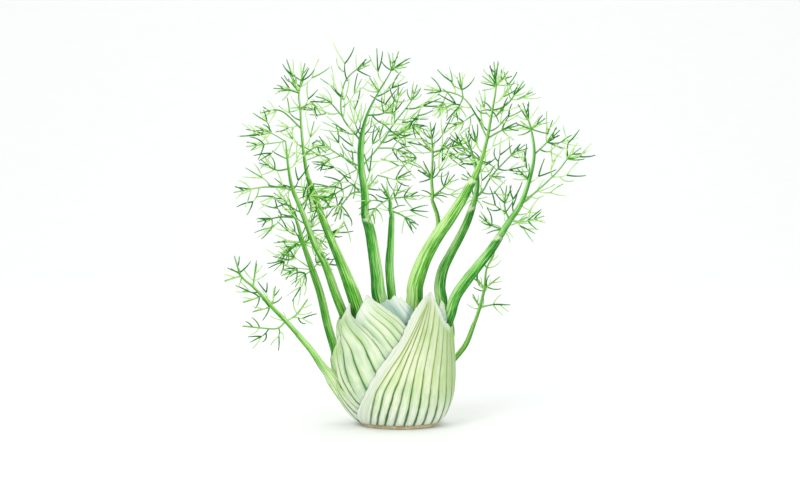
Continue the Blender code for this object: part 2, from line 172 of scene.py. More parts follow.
# Its half section, outside in and bottom to top, as (share of the width, share of the height)
PLATE_SECTION = (
    (0.30, 0.0), (0.62, 0.0), (0.86, 0.0), (0.955, 0.015), (0.985, 0.12), (0.998, 0.32),
    (0.992, 0.52), (1.0, 0.72), (0.985, 0.92), (0.95, 1.0), (0.70, 1.0), (0.35, 1.0),
)


def skin(name, corners, faces, finish):
    """A smooth-shaded mesh piece, from corners in millimetres."""
    mesh = bpy.data.meshes.new(name)
    mesh.from_pydata((np.asarray(corners).reshape(-1, 3) * MM).tolist(), [], faces)
    mesh.shade_smooth()
    mesh.materials.append(finish)
    return new_object(name, mesh)


def circle(count):
    """Directions spaced evenly all round, in radians."""
    return np.linspace(0.0, 2.0 * math.pi, count, endpoint=False)


def layered(tree, colour, *layers):
    """A colour with others laid over it in turn, each given as (its share from 0 to 1, itself)."""
    for share, over in layers:
        colour = add_node(tree, "Mix", {0: share, 6: colour, 7: over}, out=2, data_type="RGBA")
    return colour


def noise(tree, place, scale, detail):
    """Soft uneven patches, with a value near a half at most places."""
    return add_node(tree, "TexNoise", {"Vector": place, "Scale": scale, "Detail": detail})


def fade(tree, value, low, high, at_low=0.0, at_high=1.0):
    """A smooth change from one number to another while value goes from low to high."""
    places = {0: value, 1: low, 2: high, 3: at_low, 4: at_high}
    return add_node(tree, "MapRange", places, interpolation_type="SMOOTHSTEP")


def bump(tree, shader, height, distance, strength=1.0):
    """Fine relief on the shader, from a height between 0 and 1 worth this distance in metres."""
    places = {"Strength": strength, "Distance": distance, "Height": height}
    feed(shader, {"Normal": add_node(tree, "Bump", places)})


plate_finish, tree, shader = new_finish("cut_root_plate")
place = add_node(tree, "TexCoord", {}, out=3)
grain = noise(tree, place, 900.0, 6.0)
height = add_node(tree, "SeparateXYZ", {0: place}, out=2)
flesh = layered(
    tree, "e9e0bf",
    (fade(tree, noise(tree, place, 130.0, 4.0), 0.4, 0.62), "cdbb8c"),
    (fade(tree, grain, 0.52, 0.72), "a98f5f"),
    (fade(tree, height, 0.0, 0.0012, 0.45, 0.0), "8e7448"),
)
feed(shader, {"Base Color": flesh, "Roughness": 0.7})
bump(tree, shader, grain, 0.0004, 0.7)

plate_turns = circle(PLATE_SEGMENTS)
scars = np.clip(np.sin(plate_turns * PLATE_SCARS + np.sin(plate_turns * 3.0)), 0.0, 1.0) ** 2
plate_rings = []
for width_share, height_share in PLATE_SECTION:
    inset = PLATE_SCAR_DEPTH * scars * (4.0 * height_share * (1.0 - height_share))
    plate_rings.append(np.stack([
        (PLATE_HALF_WIDTH * width_share - inset) * np.cos(plate_turns),
        (PLATE_HALF_DEPTH * width_share - inset) * np.sin(plate_turns),
        np.full(PLATE_SEGMENTS, PLATE_HEIGHT * height_share),
    ], axis=-1))


def ring_faces(rings, around, first=0):
    """The quads between closed rings of corners, and a cap on either end."""
    faces = [tuple(first + n for n in reversed(range(around)))]
    for ring in range(rings - 1):
        low = first + ring * around
        for n in range(around):
            after = (n + 1) % around
            faces.append((low + n, low + after, low + around + after, low + around + n))
    last = first + (rings - 1) * around
    faces.append(tuple(last + n for n in range(around)))
    return faces


plate = skin(
    "trimmed_root_plate", plate_rings, ring_faces(len(PLATE_SECTION), PLATE_SEGMENTS),
    plate_finish,
)
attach(plate, "root")
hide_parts("root_plate")


# ---------------------------------------------------------------------------------------------
# The sheaths: the broad pale feet of the leaves, each wrapped round those inside it. Firm watery
# tissue with stringy veins that run up from the root plate and close in on the stalk, a thick
# midrib under the stalk, and thin dry wings along both margins that end in two ragged crowns.

# Outside of the bulb: height, half width to the left, half width to the right, half depth
BULB_PROFILE = np.array((
    (0, 34.0, 33.0, 26.0),
    (7, 41.5, 38.5, 31.0),
    (16, 49.0, 43.0, 35.5),
    (26, 55.0, 46.0, 38.5),
    (40, 59.0, 47.5, 40.5),
    (56, 59.5, 47.5, 40.5),
    (72, 57.0, 46.5, 38.5),
    (90, 52.5, 45.0, 34.0),
    (104, 47.0, 41.0, 28.5),
    (116, 42.0, 36.0, 23.0),
    (130, 36.0, 31.0, 18.0),
))
SHEATH_FOOT = 3.8
BLADE = 3.4
LAYER_GAP = 0.8
RIM_THICKNESS = 0.45
RIM_FADE = 5.0
RIM_FULL = 22.0
BASE_THINNING = 0.42
THINNING_HEIGHT = 42.0
MIDRIB_SPREAD = 14.0
MIDRIB_RISE = 60.0
MIDRIB_FADE = 25.0
SLACK_HEIGHT = 116.0

# The leaves, from the outside of the bulb inward. Of each: the angle of its midrib, how thick
# the midrib is, its slack if it stands in from the one outside it, its number of veins, between
# which shares of the way down they broaden, the angles of its two crowns, and its rim as
# (angle, height) from margin to margin. Where its first, middle or last vein is given, as
# (height, angle), it runs there; else it keeps a few degrees off the margin, or half way.
SHEATHS = {
    "far_right": dict(
        midrib=30, rib=4.5, veins=5, broaden=(0.2, 1.0),
        crowns=(24, 36),
        rim=((-8, 8), (8, 24), (24, 43), (36, 43), (58, 22), (78, 8)),
    ),
    "right_outer": dict(
        midrib=-5, rib=9.0, veins=16, broaden=(0.50, 1.0), crowns=(-43, 45),
        first_vein=((0, -137), (7, -127), (18, -118), (27, -113), (34, -110), (42, -105),
                    (55, -97), (64, -91), (72, -85), (80, -79.5), (88, -74), (96, -67.5),
                    (105, -58), (111, -51), (116, -45)),
        middle_vein=((4, -28), (10, -29.5), (23, -32), (40, -34), (58, -32.5), (77, -30),
                     (87, -28)),
        last_vein=((0, 126), (20, 108), (40, 92), (60, 76), (80, 58), (97, 42)),
        rim=((-149, 8), (-143, 12), (-131, 20), (-120, 33), (-110, 48), (-106, 56), (-101, 63),
             (-96, 70), (-91, 76), (-86, 84), (-82, 91), (-78, 97), (-72, 103), (-63, 109),
             (-52, 114), (-43, 116), (-39, 105), (-34, 94), (-26, 88), (-22, 86), (12, 86),
             (25, 91), (45, 97), (62, 90), (80, 68), (98, 48), (118, 28), (136, 14),
             (150, 8)),
    ),
    "far_left": dict(
        midrib=191, rib=5.5, veins=6, broaden=(0.1, 0.8),
        crowns=(180, 204),
        rim=((150, 8), (165, 20), (180, 38), (204, 38), (214, 30), (227, 18), (238, 8)),
    ),
    "left_outer": dict(
        midrib=180, rib=7.0, veins=9, broaden=(0.1, 0.6),
        crowns=(156, 200),
        rim=((112, 8), (128, 26), (142, 48), (156, 68), (168, 60), (192, 60), (200, 79),
             (204, 76), (216, 50), (230, 27), (246, 8)),
    ),
    "left_middle": dict(
        midrib=176, rib=7.5, veins=12, broaden=(0.1, 0.6), crowns=(156, 203),
        last_vein=((0, 287), (20, 281), (40, 272), (56, 262), (65, 256), (72, 251), (78, 245),
                   (83, 237.5), (87, 230), (91, 222), (96, 213), (104, 201)),
        rim=((84, 8), (100, 30), (118, 62), (140, 92), (156, 96), (168, 91), (192, 91), (199, 104),
             (203, 104), (211, 97), (220, 94), (228, 91), (241, 84), (250, 77), (256, 72),
             (260, 67), (267, 57), (277, 40), (287, 20), (293, 8)),
    ),
    "left_inner": dict(
        midrib=187, rib=10.5, veins=21, broaden=(0.15, 0.6), crowns=(140, 233),
        middle_vein=((4, 213), (30, 210), (56, 205), (74, 203), (91, 201.5)),
        last_vein=((4, 332), (36, 316), (62, 296), (76, 284.5), (87, 274), (93, 267), (98, 258.5),
                   (102, 250), (105, 244), (109, 235), (112, 229)),
        rim=((42, 8), (58, 34), (75, 60), (95, 84), (115, 96), (140, 104), (156, 100), (168, 91),
             (218, 91), (222, 94), (226, 105), (229, 112), (235, 112), (240, 110), (246, 107),
             (255, 104), (263, 100), (270, 95), (276, 90), (300, 65), (320, 37), (340, 8)),
    ),
    "right_slender": dict(
        midrib=6, rib=8.5, veins=18, broaden=(0.3, 1.0),
        crowns=(-24, 50),
        rim=((-148, 8), (-130, 40), (-110, 66), (-85, 84), (-60, 92), (-40, 100), (-24, 107),
             (-18, 107), (-12, 103), (24, 103), (50, 96), (75, 88), (100, 76), (122, 52),
             (140, 26), (152, 8)),
    ),
    "right_thick": dict(
        midrib=4, rib=11.5, slack=6.0, veins=18, broaden=(0.3, 1.0),
        crowns=(-30, 36),
        rim=((-150, 8), (-133, 44), (-113, 70), (-90, 84), (-60, 92), (-30, 97),
             (36, 97), (60, 92), (90, 86), (118, 70), (140, 44), (158, 8)),
    ),
    "centre": dict(
        midrib=180, rib=10.5, slack=4.0, veins=18, broaden=(0.2, 0.8),
        crowns=(145, 272),
        rim=((12, 8), (35, 56), (60, 78), (90, 90), (120, 98), (145, 103), (215, 103),
             (228, 103), (240, 105), (262, 112), (272, 111), (288, 102), (305, 92), (325, 76),
             (342, 40), (350, 8)),
    ),
}


def smooth(low, high, value):
    """0 up to low, 1 from high on, with an even curve between."""
    share = np.clip((value - low) / (high - low), 0.0, 1.0)
    return share * share * (3.0 - 2.0 * share)


def flowing(places, knots, values):
    """Values at places, on a smooth curve through the knots."""
    slopes = np.gradient(values, knots)
    places = np.clip(places, knots[0], knots[-1])
    low = np.clip(np.searchsorted(knots, places, side="right") - 1, 0, len(knots) - 2)
    span = knots[low + 1] - knots[low]
    t = (places - knots[low]) / span
    return (
        (2 * t ** 3 - 3 * t ** 2 + 1) * values[low]
        + (t ** 3 - 2 * t ** 2 + t) * span * slopes[low]
        + (3 * t ** 2 - 2 * t ** 3) * values[low + 1]
        + (t ** 3 - t ** 2) * span * slopes[low + 1]
    )


def near_angle(angle, centre):
    """The same direction as angle, counted within half a turn of centre."""
    return centre + (angle - centre + 180.0) % 360.0 - 180.0


def rim_height(leaf, angle):
    """Height of a sheath's rim; past its margins the rim goes on falling."""
    turns, heights = np.array(leaf["rim"], float).T
    angle = near_angle(np.asarray(angle, float), (turns[0] + turns[-1]) / 2.0)
    past = np.maximum(np.maximum(turns[0] - angle, angle - turns[-1]), 0.0)
    return np.interp(angle, turns, heights) - past


def wall(leaf, angle, height):
    """Thickness of a sheath: thin at its rim and foot, thick along the midrib."""
    under_rim = rim_height(leaf, angle) - height
    blade = RIM_THICKNESS + (BLADE - RIM_THICKNESS) * smooth(0.0, RIM_FULL, under_rim)
    blade = blade * smooth(-RIM_FADE, 0.0, under_rim)
    blade = blade * (BASE_THINNING + (1.0 - BASE_THINNING) * smooth(0.0, THINNING_HEIGHT, height))
    off_rib = (near_angle(angle, leaf["midrib"]) - leaf["midrib"]) / MIDRIB_SPREAD
    rib = leaf["rib"] * np.exp(-off_rib * off_rib) * smooth(0.0, MIDRIB_RISE, height)
    return blade + rib * (1.0 - smooth(0.0, MIDRIB_FADE, -under_rim))


def depth_of(name, angle, height):
    """How far a sheath's outer face lies inside the bulb's outline."""
    depth = 0.0
    for other, leaf in SHEATHS.items():
        slack = leaf.get("slack", 0.0) * (height / SLACK_HEIGHT) ** 2
        if other == name:
            return depth + slack
        under_rim = rim_height(leaf, angle) - height
        depth = depth + slack + wall(leaf, angle, height)
        depth = depth + LAYER_GAP * smooth(-RIM_FADE, 0.0, under_rim)
    return depth


def on_bulb(angle, height, depth):
    """Points in millimetres, depth inside the bulb's outline. Towards the bulb's flat middle the
    layers lie closer together, so that none reaches past the middle plane."""
    heights, *outlines = BULB_PROFILE.T
    left, right, front = (flowing(height, heights, outline) for outline in outlines)
    turn = np.radians(angle)
    half_width = np.where(np.cos(turn) > 0.0, right, left)
    return np.stack(np.broadcast_arrays(
        (half_width - depth) * np.cos(turn),
        front * np.exp(-depth / front) * np.sin(turn),
        height,
    ), axis=-1)


# Shares of the way from one vein to the next at which a sheath's mesh has a column of corners
VEIN_COLUMNS = (0.0, 0.035, 0.08, 0.15, 0.28, 0.5, 0.72, 0.85, 0.92, 0.965)
SHEATH_ROWS = 58
ROWS_TOWARDS_RIM = 1.25
MARGIN_COLUMNS = 9

# The margins: their lines, and how strongly lines and papery film show there
MARGIN_LINES = 3
MARGIN_STRENGTH = {"right_outer": 0.45}
MARGIN_FILM = {"right_outer": 0.88}
FAINT_MARGIN_STRENGTH = 0.06
FAINT_MARGIN_FILM = 0.1
CROWN_FILM = 0.85

# The veins: where they run, and the grooves and swellings that they make
BARE_MARGIN = 3.0
MIDDLE_VEIN_AT = 0.46
VEIN_SWAY = 0.35
VEIN_GROOVE = 0.32
GROOVE_WIDTH = 0.9
VEIN_SWELL = 0.008
FLAT_MARGIN = 1.0
RIBBED_FROM = 5.0

# The rim: how it thins, curls out (+) or in (-) and frays, and the seat that the stalk stands on
RIM_TAPER = 9.0
RIM_CURL = {"right_outer": 0.0, "left_inner": 0.1, "left_outer": -0.85, "far_left": -0.85}
RIM_PRESSED = -0.6
RIM_CURL_WIDTH = 7.0
RIM_RAGGED = 1.2
RAGGED_STEP = 1.9
SEAT_HALF_ANGLE = 17.0
SEAT_REACH = 10.0

# What the finish needs: how far the midrib green (partly painted shade) and the painted shade
# reach, and how streaks are stretched along the leaf
MIDRIB_GREEN_AND_SHADE_ANGLE = 44.0
PAINTED_SHADE_REACH = 8.0
NO_FINE_VEIN = 9.0
STRETCH_ACROSS = 2.6
STRETCH_ALONG = 5.0
SHEATH_ROUGHNESS = (0.37, 0.56)


def note(piece, label, values):
    """Keeps a number or a vector with each corner, for the piece's finish to read."""
    values = np.asarray(values, np.float32)
    kind, field = ("FLOAT_VECTOR", "vector") if values.shape[-1:] == (3,) else ("FLOAT", "value")
    layer = piece.data.attributes.new(label, kind, "POINT")
    layer.data.foreach_set(field, values.ravel())


def note_all(piece, shape, **notes):
    """Keeps several numbers with each corner, each spread over corners of this shape."""
    for label, values in notes.items():
        note(piece, label, np.broadcast_to(values, shape))


def maths(tree, operation, first, second):
    """One step of arithmetic on two numbers."""
    return add_node(tree, "Math", {0: first, 1: second}, operation=operation)


def times(tree, first, second):
    """Two numbers multiplied."""
    return maths(tree, "MULTIPLY", first, second)


def noted(tree, *labels):
    """The numbers kept with the corners under these labels."""
    return [add_node(tree, "Attribute", {}, out=2, attribute_name=label) for label in labels]


def vein_finish(name, pale, green, hollow, line_top, line_foot, midrib_green_and_shade_share, painted_shade_share):
    """Sheath tissue: a pale ground in soft bands between the veins, each band a little paler on
    one side and greener on the other as painted light, greener over the midrib (on the front
    sheath also painted shade on the bulb's right side), whiter towards the foot as painted light,
    and a cool grey green as painted shade where it rises little above the rims outside it; the
    veins as green lines that darken and widen to the foot with finer ones between them, and a
    thin papery margin and crown with hair lines along the edge."""
    finish, tree, shader = new_finish(name)
    line, between, edge, lean, strength, seat, broad, wing, rib, deep = noted(
        tree, "line", "between", "edge", "lean", "strength", "seat", "broad", "wing", "rib", "deep"
    )
    fibre = add_node(tree, "Attribute", {}, out=1, attribute_name="fibre")
    place = add_node(tree, "TexCoord", {}, out=3)
    height = add_node(tree, "SeparateXYZ", {0: place}, out=2)
    streaks = noise(tree, fibre, 1.0, 5.0)
    hairs = noise(tree, fibre, 4.2, 3.0)
    # 1 at the foot and 0 from 36 mm up: it whitens the ground as painted light and darkens the
    #                                    veins
    by_foot = fade(tree, height, 0.004, 0.036, 1.0, 0.0)
    ground = layered(
        tree, pale,
        # Painted light: lean makes each band between veins paler on one side and greener on the
        # other
        (fade(tree, maths(tree, "ADD", times(tree, lean, 0.07), streaks), 0.34, 0.72), green),
        (fade(tree, noise(tree, place, 42.0, 3.0), 0.46, 0.70, 0.0, 0.55), hollow),
        (fade(tree, hairs, 0.60, 0.78, 0.0, 0.40), "f7f8ec"),
        # Greener over the midrib; on the front sheath this is also painted shade on the bulb's
        # right side
        (times(tree, rib, midrib_green_and_shade_share), "9fbf7e"),
        # Painted light: whiter towards the foot, brightening the lower part that faces down from
        # the lamps
        (times(tree, by_foot, 0.75), "f3f8ec"),
        (times(tree, seat, 0.60), "9dca68"),
        (fade(tree, noise(tree, place, 1400.0, 2.0), 0.58, 0.80, 0.0, 0.22), "b9cf9c"),
    )

    # The veins, by each corner's distance from the nearest one, and finer ones half way between
    broken = noise(tree, fibre, 2.3, 4.0)
    width = maths(tree, "ADD", times(tree, broad, 0.72), 0.58)
    width = times(tree, width, fade(tree, broken, 0.25, 0.75, 0.60, 1.30))
    reach = maths(tree, "DIVIDE", line, width)
    drawn = times(tree, fade(tree, reach, 0.55, 1.10, 1.0, 0.0), strength)
    drawn = times(tree, drawn, fade(tree, edge, 0.8, 3.0))
    halo = times(tree, fade(tree, reach, 0.9, 3.4, 0.24, 0.0), strength)
    fine = times(tree, fade(tree, between, 0.20, 0.60, 1.0, 0.0), fade(tree, broken, 0.40, 0.62))
    fine = times(tree, fine, fade(tree, edge, 2.0, 5.0))
    line_colour = layered(
        tree, line_top,
        (fade(tree, broad, 0.0, 0.55), line_foot),
        (times(tree, by_foot, 0.8), "2a5c10"),
    )

    # The papery film of the margins and crowns, with hair lines along its edge
    hair_lines = maths(tree, "PINGPONG", maths(tree, "ADD", edge, streaks), 0.75)
    film = layered(
        tree, "eff4e2",
        (fade(tree, streaks, 0.35, 0.65), "dbe9ca"),
        (fade(tree, hair_lines, 0.50, 0.72, 0.0, 0.42), "adb2b6"),
        (fade(tree, edge, 0.2, 0.9, 0.6, 0.0), "e9e2df"),
    )
    # Laid over the ground: fine veins, halos, veins, film, and painted shade where a sheath is deep
    # in
    ground = layered(
        tree, ground, (times(tree, fine, 0.16), line_colour), (halo, line_colour),
        (drawn, line_colour), (wing, film), (times(tree, deep, painted_shade_share), "93b9a9"),
    )
    bump(tree, shader, hairs, 0.0003, 0.8)
    feed(shader, {
        "Base Color": ground, "Roughness": fade(tree, streaks, 0.3, 0.7, *SHEATH_ROUGHNESS),
        "Specular IOR Level": 0.25, "Subsurface Weight": 0.12, "Subsurface Scale": 1.0,
        "Subsurface Radius": (0.004, 0.005, 0.002),
    })
    return finish


def grid_faces(rows, columns, first, turned):
    """The quads of a sheet of corners, with their order turned round for an inner side."""
    faces = []
    for row in range(rows - 1):
        for column in range(columns - 1):
            low = first + row * columns + column
            face = (low, low + 1, low + columns + 1, low + columns)
            faces.append(face[::-1] if turned else face)
    return faces


def slab_faces(rows, columns):
    """The quads of two sheets, the outer before the inner, closed along all four edges."""
    count = rows * columns
    faces = grid_faces(rows, columns, 0, False) + grid_faces(rows, columns, count, True)
    foot = list(range(columns))
    right = [row * columns + columns - 1 for row in range(rows)]
    rim = [(rows - 1) * columns + column for column in reversed(range(columns))]
    left = [row * columns for row in reversed(range(rows))]
    for side in (foot, right, rim, left):
        for here, after in zip(side, side[1:]):
            faces.append((after, here, here + count, after + count))
    return faces


def rim_outside(name, angle):
    """The height up to which the sheaths outside this one cover it."""
    covered = np.zeros_like(angle)
    for other, leaf in SHEATHS.items():
        if other == name:
            return covered
        covered = np.maximum(covered, rim_height(leaf, angle))


def distances(corners, border):
    """How far each corner lies from the nearest point of a border."""
    tree = kdtree.KDTree(len(border))
    for number, spot in enumerate(border):
        tree.insert(spot, number)
    tree.balance()
    far = [tree.find(spot)[2] for spot in corners.reshape(-1, 3)]
    return np.reshape(far, corners.shape[:-1])


def evened(values):
    """The same run of numbers with its small kinks evened out and its ends kept."""
    for _ in range(6):
        middle = (values[:-2] + 2 * values[1:-1] + values[2:]) / 4
        values = np.concatenate([values[:1], middle, values[-1:]])
    return values


def laid_round(leaf, rows, across):
    """The angles of a sheath's corners, on lines that run with its margins and its veins. Rows
    are shares of the way up; across is below 0 in the left margin, above 1 in the right."""
    turns, heights = np.array(leaf["rim"], float).T
    left_crown, right_crown = leaf["crowns"]
    rising, falling = turns <= left_crown, turns >= right_crown
    to_left, to_right = (
        SHEATH_FOOT + (rim_height(leaf, crown) - SHEATH_FOOT) * rows for crown in leaf["crowns"]
    )
    left = evened(np.interp(to_left, heights[rising], turns[rising]))
    right = evened(np.interp(to_right, heights[falling][::-1], turns[falling][::-1]))
    inner_left, inner_right = left + BARE_MARGIN, right - BARE_MARGIN
    if "first_vein" in leaf:
        inner_left = flowing(to_left, *np.array(leaf["first_vein"], float).T)
    if "last_vein" in leaf:
        inner_right = flowing(to_right, *np.array(leaf["last_vein"], float).T)
    inner_left, inner_right = inner_left[:, None], inner_right[:, None]
    middle = (1.0 - MIDDLE_VEIN_AT) * inner_left + MIDDLE_VEIN_AT * inner_right
    if "middle_vein" in leaf:
        knots = np.array(leaf["middle_vein"], float).T
        middle = flowing(knots[0, 0] + (knots[0, -1] - knots[0, 0]) * rows, *knots)[:, None]
    share = np.clip(across, 0.0, 1.0)
    angle = inner_left * (1.0 - share) * (1.0 - 2.0 * share)
    angle = angle + inner_right * share * (2.0 * share - 1.0)
    angle = angle + middle * 4.0 * share * (1.0 - share)
    angle = angle + (inner_left - left[:, None]) * np.minimum(across, 0.0)
    return angle + (right[:, None] - inner_right) * np.maximum(across - 1.0, 0.0)


def vein_spacing(corners, vein, rows):
    """How far apart a sheath's veins run at each of its corners."""
    width = np.diff(corners, axis=1) / np.diff(vein[0])[None, :, None]
    width = np.concatenate([width, width[:, -1:]], axis=1)
    climb = np.gradient(corners, rows, axis=0)
    spacing = np.linalg.norm(np.cross(width, climb), axis=-1)
    return spacing / np.maximum(np.linalg.norm(climb, axis=-1), 1e-6)


def wrapped_sheath(name, finish, seed):
    """One sheath, its mesh laid out along its veins, from margin to margin and foot to rim."""
    leaf = SHEATHS[name]
    veins = leaf["veins"]
    chance = np.random.default_rng(seed)
    rows = 1.0 - (1.0 - np.linspace(0.0, 1.0, SHEATH_ROWS)) ** ROWS_TOWARDS_RIM
    margin = np.linspace(0.0, 1.0, MARGIN_COLUMNS, endpoint=False)
    field = [(v + share) / veins for v in range(veins) for share in VEIN_COLUMNS] + [1.0]
    columns = np.concatenate([margin - 1.0, field, 2.0 - margin[::-1]])
    across, along = np.meshgrid(columns, rows)
    down = 1.0 - along
    angle = laid_round(leaf, rows, across)

    # The rim, uneven except where the stalk stands, frayed margins, and veins that sway a little
    top_turns = angle[-1]
    top = rim_height(leaf, top_turns)
    teeth = np.arange(top_turns[0], top_turns[-1] + RAGGED_STEP, RAGGED_STEP)
    ragged = np.interp(top_turns, teeth, chance.normal(size=len(teeth)))
    off_seat = np.abs(near_angle(top_turns, leaf["midrib"]) - leaf["midrib"])
    ragged = RIM_RAGGED * ragged * smooth(SEAT_HALF_ANGLE * 0.6, SEAT_HALF_ANGLE, off_seat)
    height = SHEATH_FOOT + (top - SHEATH_FOOT) * along + ragged * along ** 9
    frayed = chance.normal(size=(2, SHEATH_ROWS)) * RIM_RAGGED * 0.4
    angle = angle + frayed[0][:, None] * np.maximum(-across, 0.0)
    angle = angle + frayed[1][:, None] * np.maximum(across - 1.0, 0.0)
    sway = np.sin(across * 9.0 + along * 4.0 + seed) + np.sin(across * 31.0 - along * 6.0 + seed)
    sway = sway * smooth(0.0, 0.1, across) * smooth(0.0, 0.1, 1.0 - across)
    angle = angle + VEIN_SWAY * sway * smooth(0.0, 0.2, down)

    depth = depth_of(name, angle, height)
    plain = on_bulb(angle, height, depth)
    in_seat = off_seat < SEAT_HALF_ANGLE
    edge = distances(plain, np.concatenate([plain[:, 0], plain[:, -1], plain[-1][~in_seat]]))
    seat = distances(plain, plain[-1][in_seat])
    rim = np.minimum(edge, seat)

    vein = np.clip(across, 0.0, 1.0) * veins
    vein = vein + MARGIN_LINES * (np.minimum(across, 0.0) + np.maximum(across - 1.0, 0.0))
    spacing = vein_spacing(plain, vein, rows)
    line = np.abs(vein - np.round(vein)) * spacing

    # The outer face with its ribs and curled rim, and the inner face a wall's thickness behind it
    ribbed = smooth(FLAT_MARGIN, RIBBED_FROM, edge) * smooth(0.0, 6.0, rim)
    relief = VEIN_GROOVE * np.exp(-(line / GROOVE_WIDTH) ** 2) * np.minimum(spacing / 6.0, 1.0)
    relief = relief - VEIN_SWELL * spacing * (1.0 - np.cos(2.0 * math.pi * vein)) / 2.0
    curl = RIM_CURL.get(name, RIM_PRESSED) * (1.0 - smooth(0.0, RIM_CURL_WIDTH, edge))
    outer = on_bulb(angle, height, depth + relief * ribbed - curl)
    thickness = wall(leaf, angle, height)
    thickness = RIM_THICKNESS + (thickness - RIM_THICKNESS) * smooth(0.0, RIM_TAPER, rim)
    inner = on_bulb(angle, height, depth + np.maximum(thickness, RIM_THICKNESS) - curl)

    # What the finish reads at each corner of both faces
    strengths = chance.uniform(0.82, 1.0, veins + 1)
    strength = strengths[np.clip(np.round(vein), 0, veins).astype(int)]
    strength = strength * smooth(0.02, 0.07, down) * (0.6 + 0.4 * smooth(0.1, 0.3, down))
    in_margin = (across < 0.0) | (across > 1.0)
    margin_strength = MARGIN_STRENGTH.get(name, FAINT_MARGIN_STRENGTH)
    wing = smooth(0.0, 0.35, np.maximum(-across, across - 1.0))
    wing = wing * MARGIN_FILM.get(name, FAINT_MARGIN_FILM)
    crown = smooth(SEAT_HALF_ANGLE - 3.0, SEAT_HALF_ANGLE + 4.0, off_seat)
    crown = crown * (1.0 - smooth(0.02, 0.10, down))
    off_rib = near_angle(angle, leaf["midrib"]) - leaf["midrib"]
    uncovered = np.maximum(height - rim_outside(name, angle), 0.0)
    between = np.abs(vein - np.floor(vein) - 0.5) * spacing
    piece = skin(f"{name}_leaf_sheath", np.stack([outer, inner]), slab_faces(*across.shape), finish)
    note_all(
        # lean sets the side of each band that is painted paler, as painted light
        piece, (2, *across.shape), line=line, edge=edge, lean=np.sin(2.0 * math.pi * vein),
        between=np.where(in_margin, NO_FINE_VEIN, between),
        wing=np.maximum(wing, CROWN_FILM * crown), broad=smooth(*leaf["broaden"], down),
        strength=np.where(in_margin, margin_strength, strength),
        # rib: the midrib green, which on the front sheath is also painted shade
        seat=np.exp(-(seat / SEAT_REACH) ** 2), rib=np.exp(-(off_rib / MIDRIB_GREEN_AND_SHADE_ANGLE) ** 2),
        # deep: painted shade, strongest up to and just above the rims of the sheaths outside
        deep=np.exp(-(uncovered / PAINTED_SHADE_REACH) ** 2),
    )
    stretched = np.broadcast_arrays(
        vein * STRETCH_ACROSS, along * STRETCH_ALONG + seed, seed * 3.7
    )
    note_all(piece, (2, *across.shape, 3), fibre=np.stack(stretched, axis=-1))
    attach(piece, "root")
    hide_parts(f"{name}_sheath")
    return piece


# The last two numbers: how much midrib green (partly painted shade) and how much painted shade
front_sheath = vein_finish(
    "front_sheath", "f0f5d8", "d3e6ac", "c2daaa", "7c9228", "3b7a14", 0.95, 0.10
)
fresh_sheath = vein_finish(
    "fresh_sheath", "e1edcc", "bfd9a2", "b2ceac", "6f9228", "327a14", 0.15, 0.20
)
shaded_sheath = vein_finish(
    "shaded_sheath", "e6efe4", "c8dcca", "9dbdb6", "93b08c", "4f8a58", 0.0, 0.75
)
green_sheath = vein_finish(
    "green_sheath", "edf4d6", "c9e0a2", "b8d69a", "6da043", "3f8a36", 0.15, 0.10
)
SHEATH_FINISHES = {
    "far_right": green_sheath,
    "right_outer": front_sheath,
    "far_left": green_sheath,
    "left_outer": green_sheath,
    "left_middle": fresh_sheath,
    "left_inner": fresh_sheath,
    "right_slender": shaded_sheath,
    "right_thick": shaded_sheath,
    "centre": shaded_sheath,
}
for number, name in enumerate(SHEATHS):
    wrapped_sheath(name, SHEATH_FINISHES[name], 11 + number)


# ---------------------------------------------------------------------------------------------
# The heart: the youngest sheath, still rolled up so tight round the bud that it is solid, with
# the edge of the roll showing as a spiral on its blunt top, down between the other sheaths.

HEART_TOP = 97.0
HEART_GAP = 1.3
HEART_AROUND = 96
HEART_ROWS = 26
HEART_CAP_ROWS = 22
HEART_CAP_SINK = 3.0
HEART_CAP_SWELL = 1.2
HEART_ROLLS = 3.0
HEART_ROLL_DEPTH = 0.9
HEART_ROLL_WIDTH = 0.12
HEART_VEINS = 22.0
HEART_VEIN_SPACING = 5.0

heart_turns = np.linspace(0.0, 360.0, HEART_AROUND, endpoint=False)
heart_rings = []
for height in np.linspace(SHEATH_FOOT, HEART_TOP, HEART_ROWS):
    depth = depth_of("heart", heart_turns, np.full(HEART_AROUND, height)) + HEART_GAP
    heart_rings.append(on_bulb(heart_turns, np.full(HEART_AROUND, height), depth))
heart_rim = heart_rings[-1]
heart_middle = heart_rim.mean(axis=0)
for share in np.linspace(0.0, 1.0, HEART_CAP_ROWS + 1)[1:-1]:
    ring = heart_middle + (heart_rim - heart_middle) * (1.0 - share)
    roll = (heart_turns / 360.0 + share * HEART_ROLLS) % 1.0
    groove = np.exp(-(np.minimum(roll, 1.0 - roll) / HEART_ROLL_WIDTH) ** 2)
    ring[:, 2] += HEART_CAP_SWELL * math.sin(share * math.pi) - HEART_CAP_SINK * share
    ring[:, 2] -= HEART_ROLL_DEPTH * groove
    heart_rings.append(ring)

